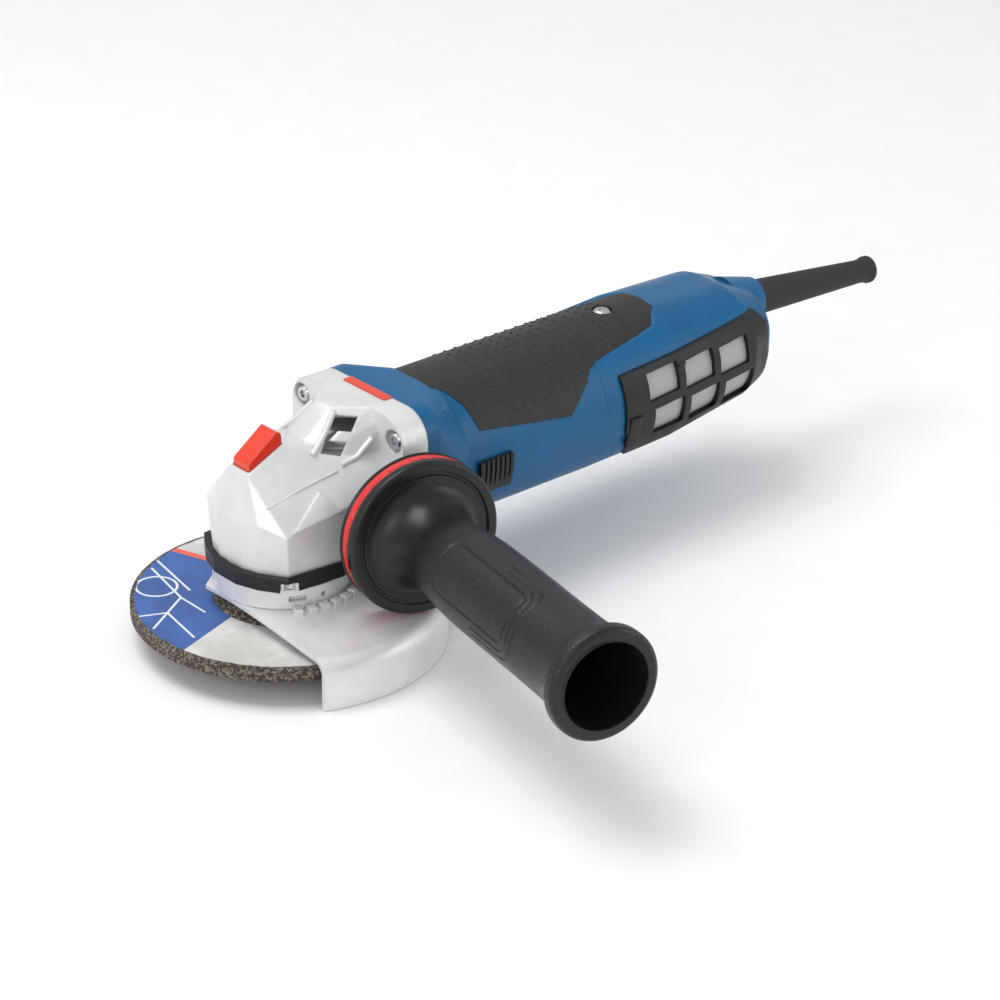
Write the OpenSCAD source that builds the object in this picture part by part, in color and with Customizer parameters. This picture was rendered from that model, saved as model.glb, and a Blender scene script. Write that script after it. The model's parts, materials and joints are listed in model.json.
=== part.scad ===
// Angle grinder for 125 mm discs: gear head, motor body, filtered tail, guard and side handle.
// Millimetres. The origin is the centre of the spindle's end face, +Z runs up the spindle,
// +X runs back along the motor body, and the side handle points to -Y.

/* [Spindle and disc] */
// Diameter of the spindle thread
spindle_d = 14; // [12:0.5:14.5]
// Length of spindle that shows below the clamping nut
spindle_nose = 2.4; // [1.5:0.1:6]
// Outer diameter of the grinding disc
disc_d = 125; // [100:1:150]
// Thickness of the grinding disc
disc_t = 6.2; // [3:0.1:8]
// Bore of the grinding disc
disc_bore = 22.2; // [20:0.1:22.4]
// Diameter of the raised hub of the disc
hub_d = 52; // [46:1:54]
// Height of the raised hub over the rim of the disc
hub_rise = 4.6; // [3:0.1:5.5]
// Diameter of the clamping nut
nut_d = 34; // [30:1:40]
// Thickness of the clamping nut
nut_t = 6; // [5:0.1:9]

/* [Guard] */
// Gap between the rim of the disc and the inside of the guard
guard_gap = 3.6; // [2:0.1:8]
// Thickness of the guard's sheet
guard_t = 1.8; // [1.2:0.1:2.4]
// Depth of the guard from its collar's foot to its lower rim
guard_depth = 25.7; // [20:0.1:34]
// Distance of the guard's two straight edges from the spindle axis
guard_front = 28; // [20:1:40]
// Radius of the shoulder between the plate and the skirt of the guard
guard_round = 6.5; // [4:0.5:8]
// Number of the index teeth beside the collar
tooth_count = 9; // [3:1:12]

/* [Gear head] */
// Height of the motor axis over the spindle's end face
motor_z = 55.1; // [55:0.1:60]
// Height of the gear head's underside over the spindle's end face
head_z = 33.6; // [32:0.1:34]
// Distance of the nose from the spindle axis
nose_x = 23; // [23:0.5:30]
// Length from the spindle axis to the joint with the motor housing
head_len = 47; // [47:0.5:60]
// Depth of the gear head's rear flange
flange_depth = 13; // [10:0.5:13]
// Radius of the neck that the guard turns on
neck_r = 26.5; // [25:0.1:27]
// Number of teeth of the bevel wheel
wheel_teeth = 35; // [35:1:35]
// Number of teeth of the pinion
pinion_teeth = 10; // [10:1:10]
// Travel of the spindle lock button
lock_travel = 4; // [3:0.5:5]

/* [Motor body] */
// Diameter of the motor housing
body_d = 66.4; // [62:0.2:80]
// Wall of the housings
wall = 2.5; // [2:0.1:3]
// Length of the motor housing
motor_len = 102; // [90:1:130]
// Length of the tail cover without its neck
tail_len = 105; // [94:1:125]
// Thickness of the soft pads
pad_t = 1.7; // [1:0.1:1.8]
// Travel of the slide switch
switch_travel = 4.5; // [3:0.5:5]

/* [Cord sleeve] */
// Length of the sleeve that shows
sleeve_len = 78; // [60:1:110]
// Bore for the cord
cord_d = 8.2; // [6:0.1:9]
// Downward tilt of the sleeve
sleeve_droop = 4.7; // [0:0.1:6]

/* [Side handle] */
// Forward rake of the handle
handle_rake = 12.5; // [0:0.5:15]
// Upward tilt of the handle
handle_rise = 1.7; // [0:0.1:3]
// Diameter of the handle's round hand guard
plate_d = 66; // [50:1:67]
// Length of the handle from the hand guard's face to its end
handle_len = 140.7; // [110:1:170]
// Diameter of the rubber grip
grip_d = 37.4; // [32:0.2:40]
// Diameter of the flared end of the grip
grip_end_d = 46.2; // [42:0.2:52]
// Diameter of the opening in the end of the grip
cup_d = 35.4; // [26:0.2:36]

/* [Hidden] */
$fn = 96;

// Clearances: a hair between seated pieces, a running fit, and a free gap round what moves
seat = 0.05;
fit = 0.05;
gap = 0.3;

// Heights of the stack on the spindle
hub_z = spindle_nose + nut_t;
disc_seat_z = hub_z + disc_t;
rim_z = disc_seat_z - hub_rise;
backing_t = 5.4;
backing_r = 20;
shoulder_z = disc_seat_z + backing_t;
disc_r = disc_d / 2;
thread_r = spindle_d / 2;

// Lower bearing, 15 x 35 x 11, in the bearing flange
lower_bore_r = 7.5;
lower_outer_r = 17.5;
lower_h = 11;
lower_z = shoulder_z + 3.6;
neck_z = shoulder_z + 1;
retainer_t = 1.6;
plug_r = 20.5;
plug_top = head_z + 4.4;

// Upper bearing, 10 x 14 x 10, in the roof of the gear head
upper_bore_r = 5;
upper_outer_r = 7;
upper_h = 10;
upper_z = motor_z + 5;

// Bevel pair: both pitch cones meet where the two axes cross
gear_ratio = wheel_teeth / pinion_teeth;
pitch_r = 18.9;
pinion_pitch_r = pitch_r / gear_ratio;
tooth_len = 4.7;
tooth_rise = 0.75;
tooth_drop = 1.05;
tooth_share = 0.34;
wheel_back_z = motor_z - 15.1;
chamber_r = plug_r + seat;
chamber_top = motor_z - 1;
lock_hole_r = 2.35;
lock_ring_r = 12;
lock_holes = 8;
lock_pin_r = 2;
web_top_z = motor_z - 10.2;

// Motor axis stations, counted back from the joint face
joint_x = head_len;
front_bearing_r = 15;
front_bearing_w = 9;
front_bearing_x = joint_x - 1.5 - front_bearing_w;
fan_x = joint_x + 4;
fan_w = 9;
baffle_x = fan_x + fan_w + 1.5;
baffle_w = 3;
core_x = baffle_x + baffle_w + 9;
split_x = joint_x + motor_len;
rear_bearing_w = 7;
rear_bearing_r = 11;
rear_bearing_x = split_x - 3 - rear_bearing_w;
commutator_len = 13;
brush_w = 6.4;
brush_h = 8.4;
commutator_r = 12;
commutator_x = rear_bearing_x - 4 - commutator_len;
core_len = commutator_x - core_x - 10;
shaft_r = 5;
rear_shaft_r = 4;
sleeve_wall = 1.5;

// Radii from the motor axis outward
body_r = body_d / 2;
inner_r = body_r - wall;
stator_r = inner_r - 3.7;
stator_bore_r = stator_r * 0.66;
air_gap = 0.6;
rotor_r = stator_bore_r - air_gap;
pad_r = body_r + 0.3;
pad_floor_r = pad_r - pad_t;

// Rear flange of the gear head, a rounded square round the motor axis
flange_half = body_r + 2.3;
flange_top = body_r + 0.8;
flange_drop = body_r - 1;
flange_corner = 13;
flange_x = joint_x - flange_depth;
screw_y = flange_half - 6.3;
screw_rise = flange_top - 9.6;
screw_drop = flange_drop - 9.6;
screw_r = 2.4;
screw_head_r = 4.1;

// Tail
tail_x = split_x;
tail_end_x = tail_x + tail_len;
neck_tip_x = tail_end_x + 13;
neck_ring_r = 9.9;
sleeve_hidden = neck_tip_x - tail_end_x + 8;
sleeve_z = motor_z + 15.1;
sleeve_r = 8.2;
sleeve_end_r = 6.3;
panel_out = 1.2;
panel_in = 1.6;

// Side handle, measured along its own axis from the motor's mid plane
handle_x = 40.2;
handle_z = motor_z - 7.8;
boss_end = flange_half / cos(handle_rake) + 1.1;
plate_s = boss_end + 9.9;
plate_t = 2;
ring_t = 4.2;
flange_s = plate_s + plate_t + ring_t;
flange_t = 4.9;
grip_s = flange_s + flange_t;
handle_end = grip_s + handle_len;
plate_r = plate_d / 2;
grip_r = grip_d / 2;
boss_r = 11.5;
stud_r = 7;
stud_hole_depth = 13.5;
cup_depth = 46;

// Guard, built on the collar's foot
guard_z = disc_seat_z + 3.7;
guard_turn = -28;
guard_cut = 152;
guard_r = disc_r + guard_gap + guard_t;
guard_low_z = guard_z - guard_depth;
plate_drop = 4.2;
collar_gap = 0.3;
collar_r = neck_r + collar_gap;
collar_t = 1.8;
collar_top = head_z - 6.1 - 0.5;

// Slide switch, on the handle side of the motor housing
button_x = joint_x + 29;
button_len = 18;
button_z = motor_z - 4;
button_h = 15;
stem_x = button_x + 6;
stem_len = 6;
rod_t = 1.6;
rod_y = inner_r - 1.7;

// ---------- helpers ----------

// Moves children so that their own Z runs back along the motor axis from station x
module along_motor(x) {
  translate([x, 0, motor_z]) rotate([90, 0, 90]) children();
}

// Ring with a true bore
module ring(outer, inner, h) {
  difference() {
    cylinder(r = outer, h = h);
    translate([0, 0, -1]) cylinder(r = inner, h = h + 2);
  }
}

// Rectangle with round corners, built from exact pieces
module round_rect(x0, x1, y0, y1, r) {
  translate([x0 + r, y0]) square([x1 - x0 - 2 * r, y1 - y0]);
  translate([x0, y0 + r]) square([x1 - x0, y1 - y0 - 2 * r]);
  for (x = [x0 + r, x1 - r], y = [y0 + r, y1 - r]) translate([x, y]) circle(r);
}

// Children and their mirror image across the motor's mid plane
module both_sides() {
  children();
  mirror([0, 1, 0]) children();
}

// Children extruded from a side view, whose points are [x, z], over a width centred on the mid plane
module side_slab(half_width) {
  translate([0, half_width, 0]) rotate([90, 0, 0]) linear_extrude(height = 2 * half_width) children();
}

// One convex solid over a list of corners and their mirror images
module faceted_block(corners) {
  hull() for (p = corners, s = [-1, 1]) translate([p[0], s * p[1], p[2]]) cube(0.02, center = true);
}

// Pan head screw along +Z, head first, with a six-lobe drive
module pan_screw(head_r, head_h, shank_r, shank_len) {
  difference() {
    union() {
      translate([0, 0, -head_h]) cylinder(r1 = head_r * 0.72, r2 = head_r, h = head_h * 0.5);
      translate([0, 0, -head_h * 0.5]) cylinder(r = head_r, h = head_h * 0.5);
      cylinder(r = shank_r, h = shank_len);
    }
    translate([0, 0, -head_h - 0.1]) cylinder(r = head_r * 0.42, h = head_h * 0.7, $fn = 6);
  }
}

// Ball bearing: two races and its balls
module ball_bearing(outer, bore, w, balls) {
  mid = (outer + bore) / 2;
  ball_r = (outer - bore) * 0.27;
  race = (outer - bore) * 0.28;
  difference() {
    ring(outer, outer - race, w);
    translate([0, 0, w / 2]) rotate_extrude() translate([mid, 0]) circle(ball_r + 0.02);
  }
  difference() {
    ring(bore + race, bore, w);
    translate([0, 0, w / 2]) rotate_extrude() translate([mid, 0]) circle(ball_r + 0.02);
  }
  for (i = [0 : balls - 1]) rotate(i * 360 / balls) translate([mid, 0, w / 2]) sphere(ball_r - 0.02, $fn = 24);
}

// Turns children so that their own Z points out along the side handle
module along_handle(s) {
  translate([handle_x, 0, handle_z]) rotate([0, 90 - handle_rise, -90 - handle_rake])
    translate([0, 0, s]) children();
}

// ---------- gear head ----------

front_half = 7;
front_x = nose_x + 4;
nose_half = 15.8;
cheek_half = 26.4;
cheek_x = nose_x - 5;
side_half = 27.6;
rear_half = flange_half - 4;
nose_top_z = head_z + 21.4;
cheek_top_z = head_z + 17.6;
crest_half = 6;
crest_front_z = head_z + 39.4;
crest_rear_z = head_z + 47.9;
roof_z = motor_z + flange_top;
crease_z = roof_z - 17;

// Lower casting: nose, cheeks, sides and the two big sloping faces
lower_corners = [
  [-front_x + 0.6, front_half, head_z], [-front_x, front_half, nose_top_z - 1.5],
  [-nose_x - 0.9, nose_half - 1, head_z], [-cheek_x + 1, cheek_half - 1, head_z],
  [8, side_half - 0.4, head_z], [flange_x, rear_half - 1, head_z],
  [-nose_x - 1.5, nose_half, nose_top_z], [-cheek_x, cheek_half, cheek_top_z],
  [8, side_half, cheek_top_z + 4], [flange_x, rear_half, cheek_top_z + 12],
  [-nose_x + 1.2, crest_half, crest_front_z], [-nose_x + 19.5, crest_half, crest_rear_z],
  [flange_x + 1, flange_half - 14.5, crease_z]];

// Raised bonnet whose two sloping sides carry the air outlets
ridge_half = 4.6;
ridge_front = [4.6, 5.2, roof_z - 12.5];
ridge_rear = [flange_x - 12, ridge_half, roof_z + 0.6];
rim_low = [flange_x - 17, 18.3, roof_z - 19.5];
rim_front = [4.6, 12.9, roof_z - 16.5];
rim_rear = [flange_x, 14.5, roof_z];
bonnet_corners = [ridge_front, ridge_rear, rim_low, rim_front, rim_rear,
  [joint_x - 1, flange_half - 15, roof_z], [joint_x - 1, flange_half - 12, roof_z - 19],
  [flange_x - 17, 17, roof_z - 29]];

// A bonnet side as its own plane: tilt from level, heading, and its four corners in that plane
slope_tilt = 48;
slope_heading = 120;
slope_near_front = [23, 11.1];
slope_near_rear = [0, 0];
slope_far_rear = [2.7, -14.9];
slope_far_front = [24.6, -2.3];

// Point on a bonnet side, u across and v down the slope
function slope_point(u, v) = (1 - v) * ((1 - u) * slope_near_rear + u * slope_far_rear)
  + v * ((1 - u) * slope_near_front + u * slope_far_front);

// Air outlet between two shares of the slope
module outlet(v0, v1) {
  translate(ridge_rear) rotate([0, slope_tilt, slope_heading]) translate([0, 0, -13]) linear_extrude(height = 22)
    polygon([slope_point(0.2, v0), slope_point(0.8, v0), slope_point(0.8, v1), slope_point(0.2, v1)]);
}

// Pocket along the crest that the lock button sinks into
lock_half = 5;
lock_x = -lock_ring_r;
lock_front_x = -nose_x + 2.8;
lock_rear_x = -nose_x + 19.2;

// Slope of the button's underside, front and rear
lock_sole_front = crest_front_z - 1;
lock_sole_rear = crest_rear_z - 0.6;
lock_sink = lock_travel + 0.6;

module lock_pocket() {
  side_slab(lock_half + gap) polygon([[lock_front_x - gap, lock_sole_front - lock_sink],
    [lock_front_x - gap, crest_rear_z + 20], [lock_rear_x + gap, crest_rear_z + 20],
    [lock_rear_x + gap, lock_sole_rear - lock_sink]]);
}

module screw_corners() {
  for (y = [-screw_y, screw_y], dz = [-screw_drop, screw_rise]) translate([y, dz, 0]) children();
}

module gear_housing() {
  color([0.86, 0.87, 0.88]) difference() {
    union() {
      faceted_block(lower_corners);
      faceted_block(bonnet_corners);
      along_motor(flange_x) linear_extrude(height = flange_depth)
        round_rect(-flange_half, flange_half, -flange_drop, flange_top, flange_corner);
      for (side = [0, 1]) mirror([0, side, 0]) along_handle(10) cylinder(r = boss_r, h = boss_end - 10);
    }
    // Wheel chamber, upper bearing seat and spindle passage
    translate([0, 0, head_z - 1]) cylinder(r = chamber_r, h = chamber_top - head_z + 1);
    cylinder(r = upper_outer_r, h = upper_z + upper_h + seat);
    // Pinion passage and front bearing seat
    along_motor(0) cylinder(r = 10.5, h = joint_x + 1);
    along_motor(front_bearing_x) cylinder(r = front_bearing_r, h = front_bearing_w + 3);
    // Air duct from the motor to the outlets
    side_slab(12) polygon([[13, roof_z - 9], [flange_x - 9, roof_z - 4], [joint_x + 1, roof_z - 4],
      [joint_x + 1, roof_z - 16], [16, roof_z - 17]]);
    both_sides() {
      outlet(0.14, 0.42);
      outlet(0.6, 0.84);
    }
    // Threaded holes for the side handle, left and right
    for (side = [0, 1]) mirror([0, side, 0]) along_handle(boss_end - stud_hole_depth)
      cylinder(r = stud_r + seat, h = stud_hole_depth + 1);
    // Corner screws, with pockets for their heads
    along_motor(flange_x - 1) screw_corners() cylinder(r = screw_head_r + 0.9, h = 4);
    along_motor(flange_x - 1) screw_corners() cylinder(r = screw_r + seat, h = flange_depth + 2);
    // Lock button pocket, pin guide and spring pocket
    lock_pocket();
    translate([lock_x, 0, chamber_top - 1]) cylinder(r = lock_pin_r + fit, h = 30);
    translate([lock_x, 0, chamber_top + 4]) cylinder(r = lock_pin_r + 2, h = 30);
    // Seat of the accent strip
    accent_slab(seat);
    // Blind holes of the flange screws
    flange_screw_places() translate([0, 0, head_z - 1]) cylinder(r = 2 + seat, h = 10);
  }
}

strip_half = 13;

module accent_slab(grow) {
  translate([joint_x - 4.2 - grow, -strip_half - grow, roof_z - 1.4 - grow])
    cube([4.2 + 2 * grow, 2 * strip_half + 2 * grow, 2 + grow]);
}

module accent_strip() {
  color([0.93, 0.27, 0.13]) accent_slab(0);
}

module flange_screw_places() {
  for (a = [35, 145, 215, 325]) rotate(a) translate([neck_r - 3, 0, 0]) children();
}

module bearing_flange() {
  color([0.8, 0.81, 0.82]) difference() {
    union() {
      translate([0, 0, neck_z]) cylinder(r = neck_r, h = head_z - seat - neck_z);
      translate([0, 0, neck_z]) cylinder(r = plug_r, h = plug_top - neck_z);
    }
    translate([0, 0, lower_z]) cylinder(r = lower_outer_r, h = 40);
    translate([0, 0, neck_z - 1]) cylinder(r = lower_bore_r + 3.5, h = 20);
    flange_screw_places() translate([0, 0, neck_z - 1]) cylinder(r = 2 + seat, h = 20);
    flange_screw_places() translate([0, 0, neck_z - 1]) cylinder(r = 3.2, h = 4);
    latch_pocket(gap);
  }
}

module flange_screws() {
  color([0.7, 0.7, 0.72]) flange_screw_places() {
    translate([0, 0, neck_z + 3]) pan_screw(3, 2, 2, head_z + 8 - neck_z - 3);
  }
}

module lower_bearing() {
  color([0.72, 0.73, 0.75]) translate([0, 0, lower_z]) ball_bearing(lower_outer_r, lower_bore_r + fit, lower_h, 9);
}

module bearing_retainer() {
  color([0.6, 0.61, 0.63]) translate([0, 0, lower_z + lower_h]) ring(lower_outer_r - seat, lower_outer_r - 3.5, retainer_t);
}

module upper_bearing() {
  color([0.72, 0.73, 0.75]) translate([0, 0, upper_z]) ring(upper_outer_r - seat, upper_bore_r + fit, upper_h);
}

// Outline of the black ring under the head, a little proud of the casting
module trim_outline() {
  near = [[-front_x - 2.5, -front_half], [-nose_x - 3, -nose_half - 1.2], [-cheek_x - 1, -cheek_half - 1.1],
    [8, -side_half - 2], [neck_r + 3, -20]];
  polygon(concat(near, [for (i = [4 : -1 : 0]) [near[i][0], -near[i][1]]]));
}

trim_h = 6.1;

module trim_ring() {
  color([0.1, 0.1, 0.11]) difference() {
    translate([0, 0, head_z - trim_h]) linear_extrude(height = trim_h - seat) trim_outline();
    cylinder(r = neck_r + seat, h = head_z + 1);
    latch_pocket(gap);
  }
}

// Guard latch: a small lever that sits in a notch of the black ring and is pushed inward
latch_turn = -123;
latch_half = 3.6;
latch_z = head_z - trim_h + 0.6;
latch_h = 3.4;
latch_in = neck_r - 1.2;
latch_out = neck_r + 5;
latch_travel = 1.5;

module latch_pocket(grow) {
  rotate(latch_turn) translate([latch_in - latch_travel - grow, -latch_half - grow, latch_z - grow - 2])
    cube([latch_out - latch_in + 8, 2 * latch_half + 2 * grow, latch_h + 2 * grow + 2]);
}

module guard_latch() {
  color([0.82, 0.83, 0.85]) rotate(latch_turn) translate([0, 0, latch_z]) difference() {
    translate([latch_in, -latch_half, 0]) cube([latch_out - latch_in, 2 * latch_half, latch_h]);
    translate([latch_out + 0.8, 0, -1]) cylinder(r = 2.4, h = latch_h + 2);
  }
}

module head_screws() {
  color([0.75, 0.76, 0.78]) along_motor(flange_x + 3) screw_corners()
    pan_screw(screw_head_r, 2.8, screw_r, flange_depth + 5);
}

module lock_button() {
  color([0.91, 0.2, 0.1]) side_slab(lock_half) polygon([[lock_front_x, lock_sole_front],
    [lock_front_x, crest_front_z + 3.4], [lock_front_x + 1.2, crest_front_z + 4.6],
    [lock_rear_x - 2.2, crest_rear_z + 5.4], [lock_rear_x - 0.6, crest_rear_z + 4.6],
    [lock_rear_x, crest_rear_z + 3], [lock_rear_x, lock_sole_rear]]);
}

lock_tip_z = web_top_z + 1.2;
spring_z = chamber_top + 4.6;
spring_len = 10;
spring_wire_r = 0.55;

// Pin with the collar that rests on the spring
module lock_pin() {
  color([0.65, 0.66, 0.68]) translate([lock_x, 0, 0]) {
    translate([0, 0, lock_tip_z]) cylinder(r = lock_pin_r, h = lock_sole_front + 2 - lock_tip_z);
    translate([0, 0, spring_z + spring_len + 0.6]) cylinder(r = lock_pin_r + 1.5, h = 1.6);
  }
}

module lock_spring() {
  color([0.6, 0.61, 0.63]) translate([lock_x, 0, spring_z])
    linear_extrude(height = spring_len, twist = -360 * 4, slices = 80, $fn = 8)
      translate([lock_pin_r + 0.3 + spring_wire_r, 0]) circle(spring_wire_r, $fn = 6);
}

// ---------- spindle and what turns with it ----------

spindle_top = upper_z + upper_h;

module spindle() {
  color([0.62, 0.63, 0.65]) {
    cylinder(r = thread_r, h = shoulder_z);
    translate([0, 0, shoulder_z]) cylinder(r = lower_bore_r + 2, h = lower_z - shoulder_z);
    translate([0, 0, lower_z]) cylinder(r = lower_bore_r, h = web_top_z - lower_z + 1);
    translate([0, 0, web_top_z]) cylinder(r = upper_bore_r, h = spindle_top - web_top_z - 0.5);
  }
}

// Direction of the pitch cones, from the crossing point of the two axes
cone_len = sqrt(pitch_r * pitch_r + pinion_pitch_r * pinion_pitch_r);
pitch_in = 1 - tooth_len / cone_len;

// Cone frustum from radius r at height z, narrowing toward the crossing point of the axes
module cone_band(r, depth, z) {
  translate([0, 0, z]) cylinder(r1 = r, r2 = r * pitch_in, h = depth * (1 - pitch_in));
}

// Radial blades that leave only the teeth, the first one centred on the X axis
module blades(count, r, h, turn) {
  step = 360 / count;
  half = step * tooth_share / 2;
  for (i = [0 : count - 1]) rotate(i * step + turn) linear_extrude(height = h)
    polygon([[0, 0], [r * cos(half), -r * sin(half)], [r, 0], [r * cos(half), r * sin(half)]]);
}

module bevel_wheel() {
  root_z = -pinion_pitch_r - tooth_drop;
  color([0.55, 0.56, 0.58]) difference() {
    translate([0, 0, motor_z]) {
      cone_band(pitch_r, pinion_pitch_r, root_z);
      intersection() {
        union() {
          cone_band(pitch_r, pinion_pitch_r, -pinion_pitch_r + tooth_rise);
          translate([0, 0, root_z - 0.5]) cylinder(r = pitch_r, h = tooth_drop + tooth_rise + 0.5);
        }
        translate([0, 0, root_z - 1]) blades(wheel_teeth, pitch_r + 4, 14, 0);
      }
      translate([0, 0, wheel_back_z - motor_z]) cylinder(r = pitch_r, h = motor_z - wheel_back_z + root_z);
    }
    translate([0, 0, web_top_z]) cylinder(r = pitch_r * pitch_in, h = 20);
    cylinder(r = lower_bore_r + seat, h = motor_z);
    for (i = [0 : lock_holes - 1]) rotate(180 + i * 360 / lock_holes)
      translate([lock_ring_r, 0, wheel_back_z - 1]) cylinder(r = lock_hole_r, h = 20);
  }
}

module backing_flange() {
  color([0.35, 0.35, 0.37]) difference() {
    union() {
      translate([0, 0, disc_seat_z]) cylinder(r = backing_r, h = backing_t);
      translate([0, 0, disc_seat_z - disc_t * 0.4]) cylinder(r = disc_bore / 2 - seat, h = disc_t * 0.4);
    }
    cylinder(r = thread_r + seat, h = 60);
  }
}

// Half profile of the disc: flat rim, sloping step and raised hub
module grinding_disc() {
  step_w = hub_rise;
  color([0.17, 0.14, 0.12]) translate([0, 0, rim_z]) rotate_extrude() polygon([
    [disc_bore / 2, hub_rise - disc_t], [hub_d / 2 - step_w, hub_rise - disc_t], [hub_d / 2, -disc_t],
    [disc_r, -disc_t], [disc_r, 0], [hub_d / 2 + 1, 0], [hub_d / 2 + 1 - step_w, hub_rise], [disc_bore / 2, hub_rise]]);
}

module clamping_nut() {
  color([0.3, 0.3, 0.32]) difference() {
    union() {
      translate([0, 0, spindle_nose]) cylinder(r = nut_d / 2, h = nut_t);
      translate([0, 0, hub_z]) cylinder(r = disc_bore / 2 - seat, h = disc_t * 0.4);
    }
    cylinder(r = thread_r + seat, h = 60);
    for (a = [0, 180]) rotate(a) translate([nut_d / 2 - 5, 0, 0]) cylinder(r = 2.5, h = spindle_nose + 3.5);
  }
}

// ---------- guard ----------

// Half profile of the dish: sloping plate, round shoulder and straight skirt
function shoulder(r0, z0, radius) = [for (a = [90 : -9 : 0]) [r0 + radius * cos(a), z0 + radius * sin(a)]];

module guard_dish() {
  bend_r = guard_r - guard_round;
  bend_z = guard_z - plate_drop - guard_round;
  outer = concat([[collar_r, guard_z]], shoulder(bend_r, bend_z, guard_round), [[guard_r, guard_low_z]]);
  inner = concat([[guard_r - guard_t, guard_low_z]],
    [for (a = [0 : 9 : 90]) [bend_r + (guard_round - guard_t) * cos(a), bend_z + (guard_round - guard_t) * sin(a)]],
    [[collar_r, guard_z - guard_t]]);
  color([0.82, 0.83, 0.84]) difference() {
    union() {
      rotate_extrude() polygon(concat(outer, inner));
      guard_teeth();
    }
    for (s = [-1, 1]) rotate(guard_turn + s * guard_cut) translate([guard_front, -150, guard_low_z - 1])
      cube([200, 300, 100]);
  }
}

module guard_teeth() {
  step = 10.4;
  for (i = [0 : tooth_count - 1]) rotate(-117 + i * step) translate([collar_r + 3.2, -1.9, guard_z - 1.4])
    cube([3.4, 3.8, 3]);
}

module guard_collar() {
  color([0.8, 0.81, 0.82]) difference() {
    translate([0, 0, guard_z]) ring(collar_r + collar_t, collar_r, collar_top - guard_z);
    rotate(-116) translate([collar_r - 1, -3.6, guard_z + 3]) cube([6, 7.2, 2.6]);
    rotate(-93) translate([0, 0, guard_z + 4.2]) rotate([0, 90, 0]) cylinder(r = 1.2, h = 50);
  }
}

// ---------- motor body ----------

// Side view of the soft pad on the motor housing
pad_front_x = joint_x + 20;
function pad_outline() = [[pad_front_x, motor_z + 50], [pad_front_x, motor_z + body_r - 1],
  [pad_front_x + 6, motor_z + body_r - 3], [pad_front_x + 10.5, motor_z + body_r - 8.5],
  [pad_front_x + 13, motor_z + 15.5], [split_x - 20.5, motor_z + 8.4], [split_x - 3, motor_z + 22.8],
  [split_x - seat, motor_z + 23.5], [split_x - seat, motor_z + 50]];

module front_pad() {
  color([0.22, 0.22, 0.23]) intersection() {
    along_motor(joint_x) ring(pad_r, pad_floor_r, motor_len);
    side_slab(60) polygon(pad_outline());
  }
}

bell_len = 24;

// Bell that leads from the square flange into the round body
module bell(grow) {
  hull() {
    along_motor(joint_x + seat) linear_extrude(height = 7) round_rect(-flange_half - grow, flange_half + grow,
      -flange_drop, flange_top + grow, flange_corner + grow, $fn = 32);
    along_motor(joint_x + bell_len) cylinder(r = body_r + grow, h = 1, $fn = 96);
  }
}

module motor_housing() {
  color([0.02, 0.36, 0.62]) {
    housing_shell();
    // Ribs that hold the stator
    along_motor(core_x) for (a = [45 : 90 : 315]) rotate(a) translate([stator_r + seat, -3, 0])
      cube([inner_r + 0.5 - stator_r - seat, 6, core_len]);
  }
}

module housing_shell() {
  difference() {
    union() {
      bell(0);
      // Small raised block on the near shoulder of the bell
      intersection() {
        bell(1.2);
        translate([joint_x + 12, -27, roof_z - 14]) cube([9, 9, 9]);
      }
      along_motor(joint_x + bell_len) cylinder(r = body_r, h = motor_len - bell_len - seat);
    }
    // Bore up to the rear web, then the open end
    along_motor(joint_x - 1) cylinder(r = inner_r, h = rear_bearing_x - joint_x - 2);
    along_motor(rear_bearing_x) cylinder(r = rear_bearing_r + sleeve_wall, h = 30);
    along_motor(rear_bearing_x + rear_bearing_w) cylinder(r = inner_r, h = 30);
    along_motor(rear_bearing_x - 5) cylinder(r = rear_bearing_r - 2, h = 10);
    // Air and wiring windows of the web
    along_motor(rear_bearing_x - 5) for (a = [0, 180]) rotate(a) linear_extrude(height = 30)
      intersection() {
        difference() {
          circle(inner_r - 0.5);
          circle(rear_bearing_r + sleeve_wall + 3);
        }
        polygon([[0, 0], [60, -60], [60, 60]]);
      }
    // Pocket of the soft pad
    difference() {
      side_slab(60) polygon(pad_outline());
      along_motor(joint_x) cylinder(r = pad_floor_r - seat, h = motor_len);
    }
    // Slot of the slide switch
    translate([stem_x - switch_travel - 1, -60, button_z - 2.5]) cube([switch_travel + stem_len + 2, 60, 5]);
    // Threads of the head screws
    along_motor(joint_x - 1) screw_corners() cylinder(r = screw_r + seat, h = 10);
  }
}

module slide_button() {
  grip_r0 = body_r + gap;
  groove_floor = body_r + 1.2;
  color([0.12, 0.12, 0.13]) {
    difference() {
      intersection() {
        along_motor(button_x) ring(body_r + 2.3, grip_r0, button_len);
        translate([button_x, -60, button_z - button_h / 2]) cube([button_len, 60, button_h]);
      }
      for (i = [0 : 5]) translate([button_x + 2.2 + i * 2.6, -60, button_z - button_h])
        cube([1, 60 - groove_floor, 2 * button_h]);
    }
    translate([stem_x, -grip_r0 - 0.9, button_z - 2]) cube([stem_len, grip_r0 + 0.9 - rod_y - 0.2, 4]);
  }
}

module switch_rod() {
  color([0.2, 0.2, 0.21]) translate([stem_x - 2, -rod_y, button_z - 3]) cube([tail_x + 18 - stem_x + 2, rod_t, 6]);
}

module stator_core() {
  color([0.5, 0.5, 0.52]) along_motor(core_x) difference() {
    ring(stator_r, stator_bore_r, core_len);
    for (a = [0, 180]) rotate(a) translate([-6, stator_bore_r - 1, -1]) cube([12, 5.5, core_len + 2]);
  }
}

module field_coils() {
  color([0.72, 0.38, 0.16]) for (x = [core_x - 5, core_x + core_len]) along_motor(x) for (a = [0, 180]) rotate(a)
    intersection() {
      ring(stator_r - 1.5, stator_bore_r + 0.6, 5);
      translate([-60, 4, -1]) cube([120, 60, 8]);
    }
}

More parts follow.
